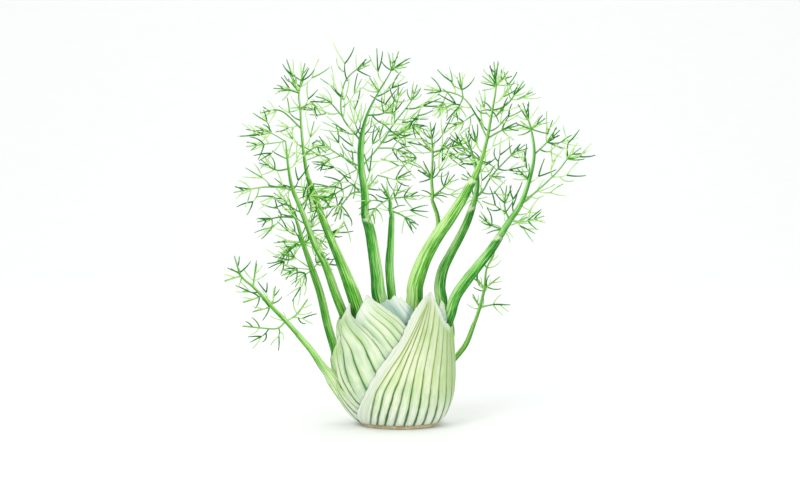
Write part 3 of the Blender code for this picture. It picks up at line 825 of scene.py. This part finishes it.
heart_corners = np.stack(heart_rings)
heart_piece = skin(
    "rolled_heart", heart_corners, ring_faces(len(heart_rings), HEART_AROUND), shaded_sheath
)
heart_veins = np.broadcast_to(heart_turns / 360.0 * HEART_VEINS, heart_corners.shape[:2])
note_all(
    # deep: painted shade over the heart
    heart_piece, heart_veins.shape, strength=0.6, edge=20.0, between=NO_FINE_VEIN, deep=0.6,
    # lean paints each band of the heart paler on one side, as painted light
    seat=0.0, wing=0.0, broad=0.0, rib=0.0, lean=np.sin(2.0 * math.pi * heart_veins),
    line=np.abs(heart_veins - np.round(heart_veins)) * HEART_VEIN_SPACING,
)
note(heart_piece, "fibre", np.stack(
    [heart_veins * STRETCH_ACROSS, heart_corners[..., 2] / 20.0, heart_corners[..., 1] / 20.0],
    axis=-1,
))
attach(heart_piece, "root")
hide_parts("heart_sheath")


# ---------------------------------------------------------------------------------------------
# The stalks: crisp, juicy and ribbed lengthwise like celery, pale where they leave their
# sheaths and deep green above. Each grows out of its sheath's midrib, so its foot sinks into
# the sheath, and it ends in a pale collar round the first rib of its frond.

TOUCHING_GAP = 0.3
STALK_SEAT = 0.8
STALK_FLARE = 1.03
STALK_PROUD = 0.7
# Points of its line inside the sheath: millimetres from the rim, extra depth, share of its radius
STALK_ROOTS = ((-5.0, 0.2, 1.06), (-12.0, 1.0, 1.20), (-20.0, 2.2, 1.32), (-28.0, 4.2, 1.36))
STALK_STEP = 2.0
STALK_AROUND = 72
STALK_RIBS = 9
STALK_RIB_HEIGHT = 0.055
STALK_OVAL = 0.025
LEANING_ROOT = -20.0
STREAK_LENGTH = 70.0
STREAKS_AROUND = 2.2
STALK_ROUGHNESS = (0.33, 0.49)
FROND_SEAT = 2.5

# Where the skin is pale: at a collar, below the sheath's rim, and a little more or less all over
COLLARED = ("centre", "right_thick", "right_slender", "right_outer")
COLLAR_SLANT = 2.6
COLLAR_EDGE = (-4.6, -2.4)
COLLAR_PALENESS = 0.85
PALE_DEPTH = 12.0
PALE_RISE = {"far_left": 24.0, "far_right": 8.0}
PALENESS = {
    "right_thick": 0.35, "far_left": 0.3, "right_slender": 0.15, "left_inner": -0.18,
    "left_middle": -0.1, "left_outer": -0.18,
}
HEART_FEET = {"heart": (-6.0, 6.0), "young": (5.0, 13.0)}

# Where a stalk leans in behind the crowns, the start of its line above its sheath's rim
LEANING_FEET = {
    "far_left": ((-55, -9, 37, 5.6), (-61, -11, 46, 4.0), (-66, -11, 52, 3.2)),
    "left_inner": ((-35.5, -4, 97, 6.2), (-38, -4, 107, 5.8)),
    "centre": ((-16.5, 1, 102, 6.3), (-18.5, 1, 114, 5.9)),
    "right_thick": ((11.5, -2, 98, 6.8), (12.5, -2, 110, 6.6)),
}

STALKS = {
    "far_left": ((-66, -11, 52, 2.9), (-75, -10, 65, 2.5), (-87, -8, 79, 2.2)),
    "left_outer": ((-62, 6, 85, 3.4), (-68, 8, 111, 3.1), (-75, 10, 132, 2.8)),
    "left_middle": ((-55, 0, 113, 3.7), (-63, -4, 137, 3.1), (-70, -8, 151, 2.8)),
    "left_inner": ((-39, -3, 105, 5.7), (-41, -4, 116, 5.5), (-49, -6, 137, 4.2),
                   (-58, -8, 159, 3.4), (-66, -8, 179, 2.9), (-77, -7, 210, 2.0)),
    "centre": ((-21, 1, 112, 5.2), (-20, 2, 130, 5.2), (-25, 3, 163, 4.4), (-29, 4, 177, 3.9)),
    "heart": ((-9, 7, 133, 3.5), (-8, 8, 154, 2.9), (-7, 9, 177, 2.3)),
    "right_thick": ((14, -2, 110, 6.4), (13, -2, 120, 6.5), (17, -4, 134, 6.2), (22, -6, 146, 5.7),
                    (31, -8, 162, 5.2), (41, -9, 176, 4.7), (52, -10, 193, 4.0),
                    (62, -10, 211, 3.2)),
    "right_slender": ((34, 6, 118, 4.6), (37, 8, 133, 4.2), (44, 9, 147, 3.6),
                      (52, 10, 162, 3.4), (58, 10, 175, 3.2), (62, 10, 187, 2.9)),
    "right_outer": ((43, -6, 97, 4.6), (47, -9, 111, 4.5), (56, -12, 125, 4.3), (66, -14, 138, 4.0),
                    (77, -15, 152, 3.6), (84, -15, 163, 3.2)),
    "far_right": ((56, 20, 65, 2.2), (64, 22, 84, 1.8)),
    "young": ((10, 15, 112, 2.3), (12, 15, 125, 2.3), (16, 14, 140, 2.2), (25, 12, 155, 2.1),
              (32, 11, 168, 2.0), (32, 10, 178, 1.8), (28, 10, 190, 1.6)),
}


def bend_smoothly(points, step):
    """A Catmull-Rom path through rows of numbers, with about one step between its own rows."""
    points = np.asarray(points, float)
    ends = np.vstack([points[0] * 2 - points[1], points, points[-1] * 2 - points[-2]])
    path = []
    for before, low, high, after in zip(ends, ends[1:], ends[2:], ends[3:]):
        count = max(1, round(np.linalg.norm((high - low)[:3]) / step))
        for t in np.arange(count) / count:
            path.append(0.5 * (
                2 * low + (high - before) * t
                + (2 * before - 5 * low + 4 * high - after) * t ** 2
                + (3 * low - before - 3 * high + after) * t ** 3
            ))
    return np.array([*path, points[-1]])


def unit(ways):
    """The same directions with a length of 1."""
    return ways / np.maximum(np.linalg.norm(ways, axis=-1, keepdims=True), 1e-9)


def length_along(line):
    """How far along a line each of its points lies."""
    steps = np.diff(line[:, :3], axis=0, prepend=line[:1, :3])
    return np.cumsum(np.linalg.norm(steps, axis=1))


def carry_frames(paths):
    """Two directions square to each path at each of its points, carried along without twist.
    The paths are an array of (path, point, xyz)."""
    ways = unit(np.gradient(paths, axis=1))
    start = np.where(np.abs(ways[:, 0, 2:3]) > 0.9, (1.0, 0.0, 0.0), (0.0, 0.0, 1.0))
    side = np.cross(ways[:, 0], start)
    sides = []
    for point in range(paths.shape[1]):
        way = ways[:, point]
        side = unit(side - way * np.sum(side * way, axis=-1, keepdims=True))
        sides.append(side)
    sides = np.stack(sides, axis=1)
    return sides, np.cross(ways, sides)


def tubes(paths, radii, around):
    """Rings of corners round each path, as (path, point, corner, xyz)."""
    sides, fronts = carry_frames(paths)
    turns = circle(around)
    spokes = sides[:, :, None] * np.cos(turns)[:, None]
    spokes = spokes + fronts[:, :, None] * np.sin(turns)[:, None]
    return paths[:, :, None] + spokes * radii[..., None]


def stalk_foot(name):
    """Where a stalk stands: on its sheath's rim at the midrib, or on the heart's flat top."""
    if name in HEART_FEET:
        return np.array((*HEART_FEET[name], HEART_TOP + TOUCHING_GAP))
    leaf = SHEATHS[name]
    height = rim_height(leaf, leaf["midrib"])
    middle = depth_of(name, leaf["midrib"], height) + wall(leaf, leaf["midrib"], height) / 2.0
    foot = on_bulb(leaf["midrib"], height, middle)
    return foot + (0.0, 0.0, TOUCHING_GAP)


def stalk_line(name):
    """The middle line of a stalk as (x, y, z, radius), from inside its sheath to its top."""
    foot = stalk_foot(name)
    radius = STALKS[name][0][3] * STALK_FLARE
    points = [(*foot, radius), (foot[0], foot[1], foot[2] + radius * STALK_SEAT, radius)]
    points = list(LEANING_FEET.get(name, points))
    if name in SHEATHS:
        leaf = SHEATHS[name]
        rim = rim_height(leaf, leaf["midrib"])
        for drop, sink, swell in STALK_ROOTS:
            if rim + drop < SHEATH_FOOT + 4.0:
                break
            if name in LEANING_FEET and drop > LEANING_ROOT:
                continue
            depth = depth_of(name, leaf["midrib"], rim + drop) + radius * swell - STALK_PROUD + sink
            points.insert(0, (*on_bulb(leaf["midrib"], rim + drop, depth), radius * swell))
    points.extend(STALKS[name][1:] if name in LEANING_FEET else STALKS[name])
    return bend_smoothly(points, STALK_STEP)


def stalk_finish(name, deep, fresh, light, base):
    """Green stalk skin: long dark and light streaks along the ribs, paler on the side towards the
    bulb's middle, below the sheath's rim and at the collar, with a faint waxy bloom."""
    finish, tree, shader = new_finish(name)
    fibre = add_node(tree, "Attribute", {}, out=1, attribute_name="fibre")
    ridge, pale, inner, collar = noted(tree, "ridge", "pale", "inner", "collar")
    hairs = noise(tree, fibre, 8.0, 3.0)
    wash = noise(tree, add_node(tree, "TexCoord", {}, out=3), 55.0, 2.0)
    tone = times(tree, maths(tree, "SUBTRACT", noise(tree, fibre, 2.6, 4.0), 0.5), 2.6)
    for value, weight in ((ridge, 0.10), (inner, 0.60), (wash, 0.30), (collar, -0.35)):
        tone = maths(tree, "ADD", times(tree, value, weight), tone)
    foot_colour = layered(tree, base, (fade(tree, tone, -0.30, 0.25, 0.75, 0.0), fresh))
    skin_colour = layered(
        tree, deep,
        (fade(tree, tone, -0.20, 0.26), fresh),
        (fade(tree, tone, 0.22, 0.66), light),
        (fade(tree, hairs, 0.52, 0.68, 0.0, 0.55), light),
        (fade(tree, hairs, 0.48, 0.34, 0.0, 0.45), deep),
        (pale, foot_colour),
    )
    bloom = fade(tree, wash, 0.35, 0.70, *STALK_ROUGHNESS)
    feed(shader, {"Base Color": skin_colour, "Roughness": bloom, "Specular IOR Level": 0.18})
    bump(tree, shader, hairs, 0.00025, 0.7)
    return finish


def streaked(turns, along, shift):
    """Where each corner of a tube lies in the pattern of streaks, which run lengthwise."""
    around = np.broadcast_arrays(
        np.cos(turns) * STREAKS_AROUND, np.sin(turns) * STREAKS_AROUND,
        along[:, None] / STREAK_LENGTH + shift,
    )
    return np.stack(around, axis=-1)


def grown_stalk(name, finish, seed):
    """One stalk as a ribbed tube along its middle line, with a pale collar at its top if it has
    one."""
    line = stalk_line(name)
    along = length_along(line)
    chance = np.random.default_rng(seed)
    turns = circle(STALK_AROUND)
    ribs = STALK_RIBS + round(line[0, 3])
    ridge = np.cos(turns * ribs + 0.9 * np.sin(turns * 2.0 + seed))
    shape = 1.0 + STALK_RIB_HEIGHT * ridge + STALK_OVAL * np.cos(turns * 2.0 + seed)
    radii = line[:, 3][:, None] * shape[None]
    corners = tubes(line[None, :, :3], radii[None], STALK_AROUND)[0]
    piece = skin(f"{name}_ribbed_stalk", corners, ring_faces(len(line), STALK_AROUND), finish)
    foot = stalk_foot(name)[2]
    ragged = 1.6 * np.cos(turns * ribs + 2.0) + chance.normal(size=STALK_AROUND) * 0.8
    rise = PALE_RISE.get(name, -1.0)
    pale = 1.0 - smooth(foot - PALE_DEPTH, foot + rise, corners[..., 2] + ragged)
    spokes = (corners - line[:, None, :3]) / radii[..., None]
    inner = -np.sign(line[-1, 0]) * spokes[..., 0] + PALENESS.get(name, 0.0)
    collar = np.zeros_like(pale)
    if name in COLLARED:
        below = along[:, None] - along[-1] + COLLAR_SLANT * inner
        pale = np.maximum(pale, smooth(*COLLAR_EDGE, below) * COLLAR_PALENESS)
        collar = smooth(-24.0, -5.0, below) - smooth(-5.0, -2.6, below)
    note_all(piece, pale.shape, ridge=ridge, pale=pale, collar=collar, inner=inner)
    note(piece, "fibre", streaked(turns, along, seed))
    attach(piece, "root")
    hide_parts(f"{name}_stalk")
    return piece


sunny_stalk = stalk_finish("sunny_stalk", "22800a", "66ba30", "c8ec9c", "e0edc4")
deep_stalk = stalk_finish("deep_stalk", "0e7410", "4cae2c", "bfe99c", "dceac4")
STALK_FINISHES = {
    "far_left": sunny_stalk, "left_outer": sunny_stalk, "left_middle": sunny_stalk,
    "left_inner": sunny_stalk, "centre": deep_stalk, "heart": deep_stalk,
    "right_thick": sunny_stalk, "right_slender": deep_stalk, "right_outer": deep_stalk,
    "far_right": sunny_stalk, "young": sunny_stalk,
}
for number, name in enumerate(STALKS):
    grown_stalk(name, STALK_FINISHES[name], 3 + number)


# ---------------------------------------------------------------------------------------------
# The fronds: each stalk's leaf, divided again and again into soft green threads. A rib carries
# side branches; branches and thin sprays carry sprigs of threads just over a millimetre thick,
# every tip ends in a fan of them, and they arch out from the joints of the rib.

RIB_START = 0.95
RIB_SUNK = 1.5
RIB_FLUTES = 6.0
FLUTE_DEPTH = 0.05
RIB_TAPER = {"right_thick": 0.45, "left_inner": 0.65, "right_outer": 0.85, "right_slender": 0.95}
EVEN_TAPER = 1.2
RIB_NARROWS = {"centre": (0.42, 0.68)}
NARROWED_BY = 0.45
BRANCH_START = 0.85
BRANCH_END = 0.5
BRANCH_STEP = 3.0
BRANCH_AROUND = 8
RIB_AROUND = 24
THREAD_POINTS = 7
THREAD_AROUND = 5
THREAD_RADIUS = 0.6
THREAD_STOUTNESS = (1.14, 0.90)
THREAD_TIP = 0.5
THREAD_CHANGE = 0.35
DEEP_THREADS = 0.40
DEEP_SHADE = 0.10
PALE_SHADE = 0.88
SHADE_SPREAD = 0.15

# Sprigs, stars and fans: lengths in millimetres or shares of one, and slants in degrees
SPRIG_LENGTH = {"centre": 25.0, "young": 24.0, "far_left": 16.0, "far_right": 17.0}
OTHER_SPRIGS = 21.0
TIP_THREADS = {"far_left": 3, "far_right": 3}
OTHER_TIP_THREADS = 4
SPRIG_STEP = 10.0
SPRIG_SLANT = (48.0, 78.0)
SPRIG_CURVE = 0.45
SPRIG_STEM = (0.45, 0.65)
SPRIG_FAN_SPREAD = 32.0
SPRIG_FAN_LENGTH = 0.74
LOW_THREADS = 0.5
LOW_THREAD_LENGTH = 0.7
LOW_THREAD_TURN = 42.0
STAR_THREADS = 0.7
STAR_ANGLES = (45.0, 75.0, 105.0)
STAR_LENGTH = (10.0, 16.0)
TUFT_REACH = 6.0
TUFT_GAP = 11.0
FAN_SETBACK = 15.0
CLEAR_OF_FAN = 1.3
# The two fans on a tip: threads fewer than its full number, rise, half spread, share of length
TIP_FANS = ((0, 0.0, 66.0, 1.0), (2, 6.0, 40.0, 0.62))
NEAREST_Y = -50.0
FURTHEST_Y = 52.0

# Fronds, as branches: the lean of each, then its (x, z) points. The first is the frond's own rib,
# from the stalk's top, and each other one starts at a point of a branch before it. Lean is how
# far a branch comes forward (-) or goes back (+) for each millimetre of its length.
FRONDS = {
    "far_left": (
        (0.10, (-87, 79), (-97, 90), (-109, 102), (-117, 111), (-125, 119), (-135, 128),
         (-141, 145)),
        (-0.30, (-97, 90), (-104, 84), (-118, 85), (-133, 87)),
        (0.35, (-97, 90), (-88, 95), (-79, 107)),
        (-0.25, (-109, 102), (-125, 98)),
        (0.30, (-109, 102), (-106, 119)),
        (-0.35, (-117, 111), (-133, 106)),
        (0.30, (-125, 119), (-122, 138)),
        (-0.20, (-135, 128), (-149, 124)),
    ),
    "left_outer": (
        (0.25, (-75, 132), (-83, 154), (-90, 176), (-99, 190)),
        (0.45, (-83, 154), (-97, 148), (-106, 138)),
        (-0.30, (-83, 154), (-73, 160), (-62, 151)),
        (0.50, (-90, 176), (-104, 176), (-124, 171)),
        (0.35, (-99, 190), (-109, 197)),
    ),
    "left_middle": (
        (-0.20, (-70, 151), (-76, 166), (-84, 188), (-90, 203), (-93, 220), (-95, 243)),
        (-0.50, (-84, 188), (-73, 197), (-62, 195)),
        (-0.35, (-90, 203), (-112, 205), (-138, 201)),
        (0.15, (-93, 220), (-104, 219), (-117, 228)),
        (-0.30, (-95, 243), (-111, 241), (-127, 239)),
        (0.20, (-95, 243), (-110, 251), (-122, 252)),
    ),
    "left_inner": (
        (0.05, (-77, 210), (-81, 231), (-83, 253), (-84, 270), (-85, 283), (-80, 308)),
        (-0.40, (-81, 231), (-70, 238), (-62, 233)),
        (0.40, (-83, 253), (-101, 268), (-119, 266)),
        (-0.35, (-84, 270), (-74, 274), (-66, 265)),
        (0.30, (-85, 283), (-96, 286), (-107, 287)),
        (-0.30, (-85, 283), (-92, 298)),
    ),
    "centre": (
        (0.05, (-29, 177), (-30, 199), (-33, 220), (-33, 242), (-28, 264), (-18, 284), (-7, 303),
         (-6, 317)),
        (-0.40, (-30, 199), (-41, 198), (-50, 187), (-55, 175)),
        (0.40, (-30, 199), (-19, 213)),
        (-0.30, (-33, 220), (-50, 230), (-71, 244)),
        (0.35, (-33, 220), (-19, 236), (-5, 257), (9, 275), (15, 290)),
        (0.50, (-19, 236), (-4, 235), (9, 227)),
        (0.30, (-33, 242), (-49, 263), (-49, 286), (-42, 299), (-25, 311)),
        (0.20, (-49, 263), (-61, 276), (-72, 280)),
        (-0.35, (-28, 264), (-14, 266), (-4, 277)),
        (0.30, (-18, 284), (-26, 296)),
        (-0.30, (-7, 303), (8, 309)),
    ),
    "heart": (
        (0.10, (-7, 177), (-8, 183), (-9, 193), (-16, 206)),
        (-0.45, (-8, 183), (4, 178), (14, 168)),
        (0.45, (-9, 193), (3, 194), (17, 195)),
        (-0.60, (-9, 193), (-20, 186), (-27, 174)),
    ),
    "right_thick": (
        (-0.10, (62, 211), (68, 226), (73, 245), (77, 268), (80, 289), (78, 309)),
        (-0.50, (68, 226), (55, 236), (42, 249)),
        (0.20, (73, 245), (86, 252), (100, 256)),
        (0.20, (73, 245), (63, 266), (53, 279), (40, 284), (20, 286)),
        (0.30, (53, 279), (50, 300)),
        (0.30, (77, 268), (90, 274), (104, 293)),
        (-0.30, (80, 289), (90, 301)),
        (0.30, (80, 289), (69, 297)),
    ),
    "right_slender": (
        (0.05, (62, 187), (64, 193), (66, 206), (64, 222), (56, 249)),
        (0.10, (64, 193), (71, 200), (78, 212), (93, 228), (107, 239)),
        (-0.15, (66, 206), (53, 214)),
        (0.45, (78, 212), (90, 211)),
    ),
    "right_outer": (
        (-0.10, (84, 163), (87, 168), (92, 176), (101, 190), (108, 210), (112, 232), (109, 253),
         (102, 275)),
        (-0.40, (87, 168), (76, 173), (66, 181)),
        (-0.45, (92, 176), (105, 176), (120, 181)),
        (0.30, (92, 176), (88, 188), (90, 205)),
        (-0.25, (101, 190), (116, 203), (131, 218), (140, 230), (150, 238)),
        (-0.50, (108, 210), (97, 221)),
        (0.30, (112, 232), (123, 242), (134, 252)),
        (0.30, (109, 253), (121, 262)),
        (-0.30, (109, 253), (96, 258)),
    ),
    "far_right": (
        (0.15, (64, 84), (69, 98), (73, 114), (75, 131), (82, 145)),
        (0.35, (69, 98), (63, 109)),
        (-0.25, (69, 98), (82, 101), (95, 101)),
        (-0.35, (73, 114), (86, 125)),
        (0.30, (73, 114), (66, 124)),
    ),
    "young": (
        (0.30, (28, 190), (28, 195), (27, 210), (28, 232), (26, 258)),
        (0.45, (28, 195), (37, 202), (47, 213)),
        (-0.20, (27, 210), (17, 221)),
        (0.50, (28, 232), (42, 236), (58, 240)),
        (0.20, (28, 232), (18, 244)),
    ),
}


# The thin sprays that fill the fronds, each from a point of one of the branches above
SPRAYS = {
    "left_outer": (
        (-0.35, (-75, 132), (-88, 134), (-101, 128)),
        (0.30, (-75, 132), (-90, 142), (-103, 150)),
        (-0.30, (-75, 132), (-68, 141), (-60, 147)),
        (0.20, (-75, 132), (-84, 126), (-90, 117)),
    ),
    "left_middle": (
        (-0.40, (-70, 151), (-85, 158), (-99, 150)),
        (0.35, (-70, 151), (-62, 163), (-50, 165)),
        (-0.20, (-70, 151), (-61, 147)),
    ),
    "left_inner": (
        (-0.30, (-77, 210), (-68, 196), (-55, 191)),
    ),
    "centre": (
        (0.30, (-5, 257), (-4, 269), (-1, 281), (3, 288)),
        (-0.35, (-19, 236), (-10, 247), (2, 250), (14, 255), (24, 251)),
        (0.45, (-33, 220), (-46, 213), (-61, 198)),
        (-0.30, (-50, 230), (-60, 227), (-72, 220)),
        (0.25, (-30, 199), (-42, 205), (-58, 196), (-66, 187)),
        (0.40, (-19, 213), (-5, 209), (10, 213)),
    ),
    "right_thick": (
        (-0.30, (53, 279), (49, 270), (43, 259)),
        (0.30, (40, 284), (35, 272), (29, 263)),
        (0.20, (63, 266), (52, 258), (40, 253)),
    ),
    "right_slender": (
        (0.30, (64, 222), (56, 232), (48, 236)),
    ),
    "young": (
        (0.30, (17, 221), (8, 226), (0, 224)),
    ),
}
SPRAY_START = 0.6
SPRAY_OVERLAP = 0.3
SPRAY_SHADE = 0.6


def frond_branches(name):
    """Every branch of a frond as (x, y, z, radius) rows, the frond's own rib first, and then its
    sprays in the same way."""
    below, start = stalk_line(name)[-2:]
    growing = unit(start[:3] - below[:3])
    places = {FRONDS[name][0][1]: start}
    branches = []
    for lean, *route in (*FRONDS[name], *SPRAYS.get(name, ())):
        first = places[route[0]]
        thick = first[3] * RIB_START if not branches else min(first[3], BRANCH_START)
        if len(branches) >= len(FRONDS[name]):
            thick = SPRAY_START
        taper = EVEN_TAPER if branches else RIB_TAPER.get(name, EVEN_TAPER)
        length = sum(math.dist(low, high) for low, high in zip(route, route[1:]))
        rows = [np.array((*first[:3], thick))]
        along = 0.0
        for low, high in zip(route, route[1:]):
            along += math.dist(low, high)
            radius = thick + (BRANCH_END - thick) * (along / length) ** taper
            if name in RIB_NARROWS and not branches:
                radius *= 1.0 - NARROWED_BY * smooth(*RIB_NARROWS[name], along / length)
            rows.append(np.array((high[0], first[1] + lean * along, high[1], radius)))
            places[high] = rows[-1]
        branches.append(rows)
    branches[0][:1] = [
        np.array((*(start[:3] + growing * rise), start[3] * RIB_START))
        for rise in (-RIB_SUNK, FROND_SEAT)
    ]
    return branches[:len(FRONDS[name])], branches[len(FRONDS[name]):]


def some_shade(chance):
    """How pale a thread is: two in five are deep green, the others pale."""
    middle = DEEP_SHADE if chance.random() < DEEP_THREADS else PALE_SHADE
    return chance.normal(middle, SHADE_SPREAD)


def beside(way, chance):
    """A direction square to a stem, mostly across it as the threads of one spray lie."""
    side = np.cross(way, (0.0, 1.0, 0.0)) + chance.normal(size=3) * (0.12, 0.28, 0.12)
    return unit(side - way * np.dot(side, way))


def slanting(way, side, angle):
    """A direction that many degrees off a stem's own, towards one side."""
    return way * math.cos(math.radians(angle)) + side * math.sin(math.radians(angle))


def fan(spot, way, side, count, spread, length, chance):
    """Threads that leave one place like the ribs of a fan, and curve in towards its middle. Each
    thread is (start, direction at its start, length, direction at its end, shade)."""
    grown = []
    for share in np.linspace(-1.0, 1.0, count):
        angle = spread * share + chance.uniform(-7.0, 7.0)
        lift = np.array((0.0, chance.normal() * 0.18, 0.0))
        end = slanting(way, side, angle * chance.uniform(0.15, 0.8)) + lift
        reach = length * chance.uniform(0.7, 1.15)
        grown.append((spot, slanting(way, side, angle) + lift, reach, end, some_shade(chance)))
    return grown


def sprig(spot, way, side, length, chance):
    """A side stem that curves up along its branch, with a thread or two on its outer side and a
    small fan on its end."""
    slant = chance.uniform(*SPRIG_SLANT)
    out = slanting(way, side, slant)
    end = slanting(way, side, slant * SPRIG_CURVE)
    across = slanting(way, side, slant * SPRIG_CURVE + 90.0)
    stem = length * chance.uniform(*SPRIG_STEM)
    grown = [(spot, out, stem, end, some_shade(chance))]
    fork = spot + stem * (out + end) / 2.0
    count = chance.integers(2, 4)
    reach = length * SPRIG_FAN_LENGTH
    grown.extend(fan(fork, end, across, count, SPRIG_FAN_SPREAD, reach, chance))
    if chance.random() < LOW_THREADS:
        middle = spot + stem * (out * 0.5 + (end - out) * 0.125)
        low_out = slanting(way, side, slant + chance.choice((-LOW_THREAD_TURN, LOW_THREAD_TURN)))
        grown.append((middle, low_out, length * LOW_THREAD_LENGTH, end, some_shade(chance)))
    return grown


def star(spot, way, side, chance):
    """Threads that leave a joint of the rib to both sides and arch over."""
    grown = []
    for hand in (-1.0, 1.0):
        for angle in STAR_ANGLES:
            if chance.random() < STAR_THREADS:
                angle = angle + chance.uniform(-10.0, 10.0)
                out = slanting(way, side * hand, angle)
                end = slanting(way, side * hand, angle + chance.choice((-35.0, 35.0)))
                end = end + np.array((0.0, chance.normal() * 0.3, -0.2))
                length = chance.uniform(*STAR_LENGTH)
                grown.append((spot, out, length, end, some_shade(chance)))
    return grown


def has_room(spot, tufts):
    """Whether a tuft has air round it, as threads turn away from those already there."""
    if tufts and np.linalg.norm(np.array(tufts) - spot, axis=1).min() < TUFT_GAP:
        return False
    tufts.append(spot)
    return True


def frond_threads(branches, sprigs, tip_threads, seed):
    """The threads of a whole frond: a fan on the end of each branch, sprigs to its left and
    right in turn, and stars where branches leave the rib."""
    chance = np.random.default_rng(seed)
    grown, tufts = [], []
    for rows in branches:
        way = unit(rows[-1][:3] - rows[-2][:3])
        side = beside(way, chance)
        tip = rows[-1][:3] - way * FAN_SETBACK
        tufts.append(tip + way * TUFT_REACH)
        for fewer, rise, spread, share in TIP_FANS:
            count = tip_threads - fewer
            length = FAN_SETBACK * share
            grown.extend(fan(tip + way * rise, way, side, count, spread, length, chance))
    for number, rows in enumerate(branches):
        hand = chance.choice((-1.0, 1.0))
        for here, (low, high) in enumerate(zip(rows, rows[1:])):
            if number == 0 and here < 2:
                continue
            low, high = low[:3], high[:3]
            length = np.linalg.norm(high - low)
            way = unit(high - low)
            side = beside(way, chance)
            if number == 0 and has_room(low, tufts):
                grown.extend(star(low, way, side, chance))
            reach = length - CLEAR_OF_FAN * FAN_SETBACK if here == len(rows) - 2 else length
            for step in range(max(0, round(reach / SPRIG_STEP))):
                spot = low + way * min(reach, (step + chance.uniform(0.4, 0.9)) * SPRIG_STEP)
                hand = -hand
                for outer in (side * hand, -side * hand):
                    new = sprig(spot, way, outer, sprigs, chance)
                    if has_room(new[1][0] + new[0][3] * TUFT_REACH, tufts):
                        grown.extend(new)
    return grown


# Frond green, from a pale yellow green to a deep cool one, thread by thread
frond_green, tree, shader = new_finish("frond_green")
mottle = noise(tree, add_node(tree, "TexCoord", {}, out=3), 150.0, 2.0)
[shade] = noted(tree, "shade")
tone = maths(tree, "ADD", shade, fade(tree, mottle, 0.3, 0.7, -0.22, 0.22))
green = layered(
    tree, "0a7a06",
    (fade(tree, tone, 0.0, 0.45), "58b022"),
    (fade(tree, tone, 0.40, 0.95), "bce88a"),
)
feed(shader, {"Base Color": green, "Roughness": 0.45, "Specular IOR Level": 0.15})


def tube_set_faces(count, rings, around):
    """Faces of many closed tubes that lie one after another in a list of corners."""
    faces = []
    for number in range(count):
        faces.extend(ring_faces(rings, around, number * rings * around))
    return faces


def grown_ribs(name, branches, seed):
    """The rib of a frond with its branches, in the stalk's own skin."""
    corners, faces, inner, fibre = [], [], [], []
    count = 0
    for number, rows in enumerate(branches):
        line = bend_smoothly(rows, BRANCH_STEP)
        around = RIB_AROUND if number == 0 else BRANCH_AROUND
        turns = circle(around)
        radii = line[:, 3:4] * (1.0 + FLUTE_DEPTH * np.cos(turns * RIB_FLUTES))[None]
        ring = tubes(line[None, :, :3], radii[None], around)[0]
        corners.append(ring.reshape(-1, 3))
        faces.extend(ring_faces(len(line), around, count))
        spokes = (ring - line[:, None, :3]) / radii[..., None]
        inner.append((-np.sign(line[0, 0]) * spokes[..., 0]).ravel())
        fibre.append(streaked(turns, length_along(line), seed + number).reshape(-1, 3))
        count += len(line) * around
    ribs = skin(f"{name}_frond_ribs", np.concatenate(corners), faces, STALK_FINISHES[name])
    note_all(ribs, count, inner=np.concatenate(inner), ridge=0.0, pale=0.0, collar=0.0)
    note(ribs, "fibre", np.concatenate(fibre))
    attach(ribs, "root")
    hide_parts(f"{name}_frond")


def grown_threads(name, branches, sprays, seed):
    """All the threads of a frond, each a tube that narrows along its curve."""
    sprigs = SPRIG_LENGTH.get(name, OTHER_SPRIGS)
    tip_threads = TIP_THREADS.get(name, OTHER_TIP_THREADS)
    grown = frond_threads([*branches, *sprays], sprigs, tip_threads, seed)
    for rows in sprays:
        for low, high in zip(rows, rows[1:]):
            way = unit((high - low)[:3])
            length = np.linalg.norm((high - low)[:3]) + SPRAY_OVERLAP
            grown.append((low[:3], way, length, way, SPRAY_SHADE))
    spots, ways, lengths, bends, shades = zip(*grown)
    spots, ways, bends = (np.array(values) for values in (spots, ways, bends))
    t = np.linspace(0.0, 1.0, THREAD_POINTS)[None, :, None]
    reach = np.array(lengths)[:, None, None]
    paths = spots[:, None] + reach * (ways[:, None] * t + (bends - ways)[:, None] * t * t / 2.0)
    paths[..., 1] = np.clip(paths[..., 1], NEAREST_Y, FURTHEST_Y)
    taper = 1.0 - (1.0 - THREAD_TIP) * t ** 2
    change = np.random.default_rng(seed).choice((-THREAD_CHANGE, THREAD_CHANGE), len(paths))
    stout = THREAD_RADIUS * np.interp(shades, (0.0, 1.0), THREAD_STOUTNESS)
    shades = np.array(shades)[:, None, None] + change[:, None, None] * (t - 0.5)
    radii = stout[:, None, None] * taper * np.ones(THREAD_AROUND)
    corners = tubes(paths, radii, THREAD_AROUND)
    threads = skin(
        f"{name}_threads", corners, tube_set_faces(len(paths), THREAD_POINTS, THREAD_AROUND),
        frond_green,
    )
    note(threads, "shade", np.broadcast_to(shades, corners.shape[:3]))
    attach(threads, "root")


for number, name in enumerate(FRONDS):
    branches, sprays = frond_branches(name)
    grown_ribs(name, branches, 40 + number)
    grown_threads(name, branches, sprays, 40 + number)
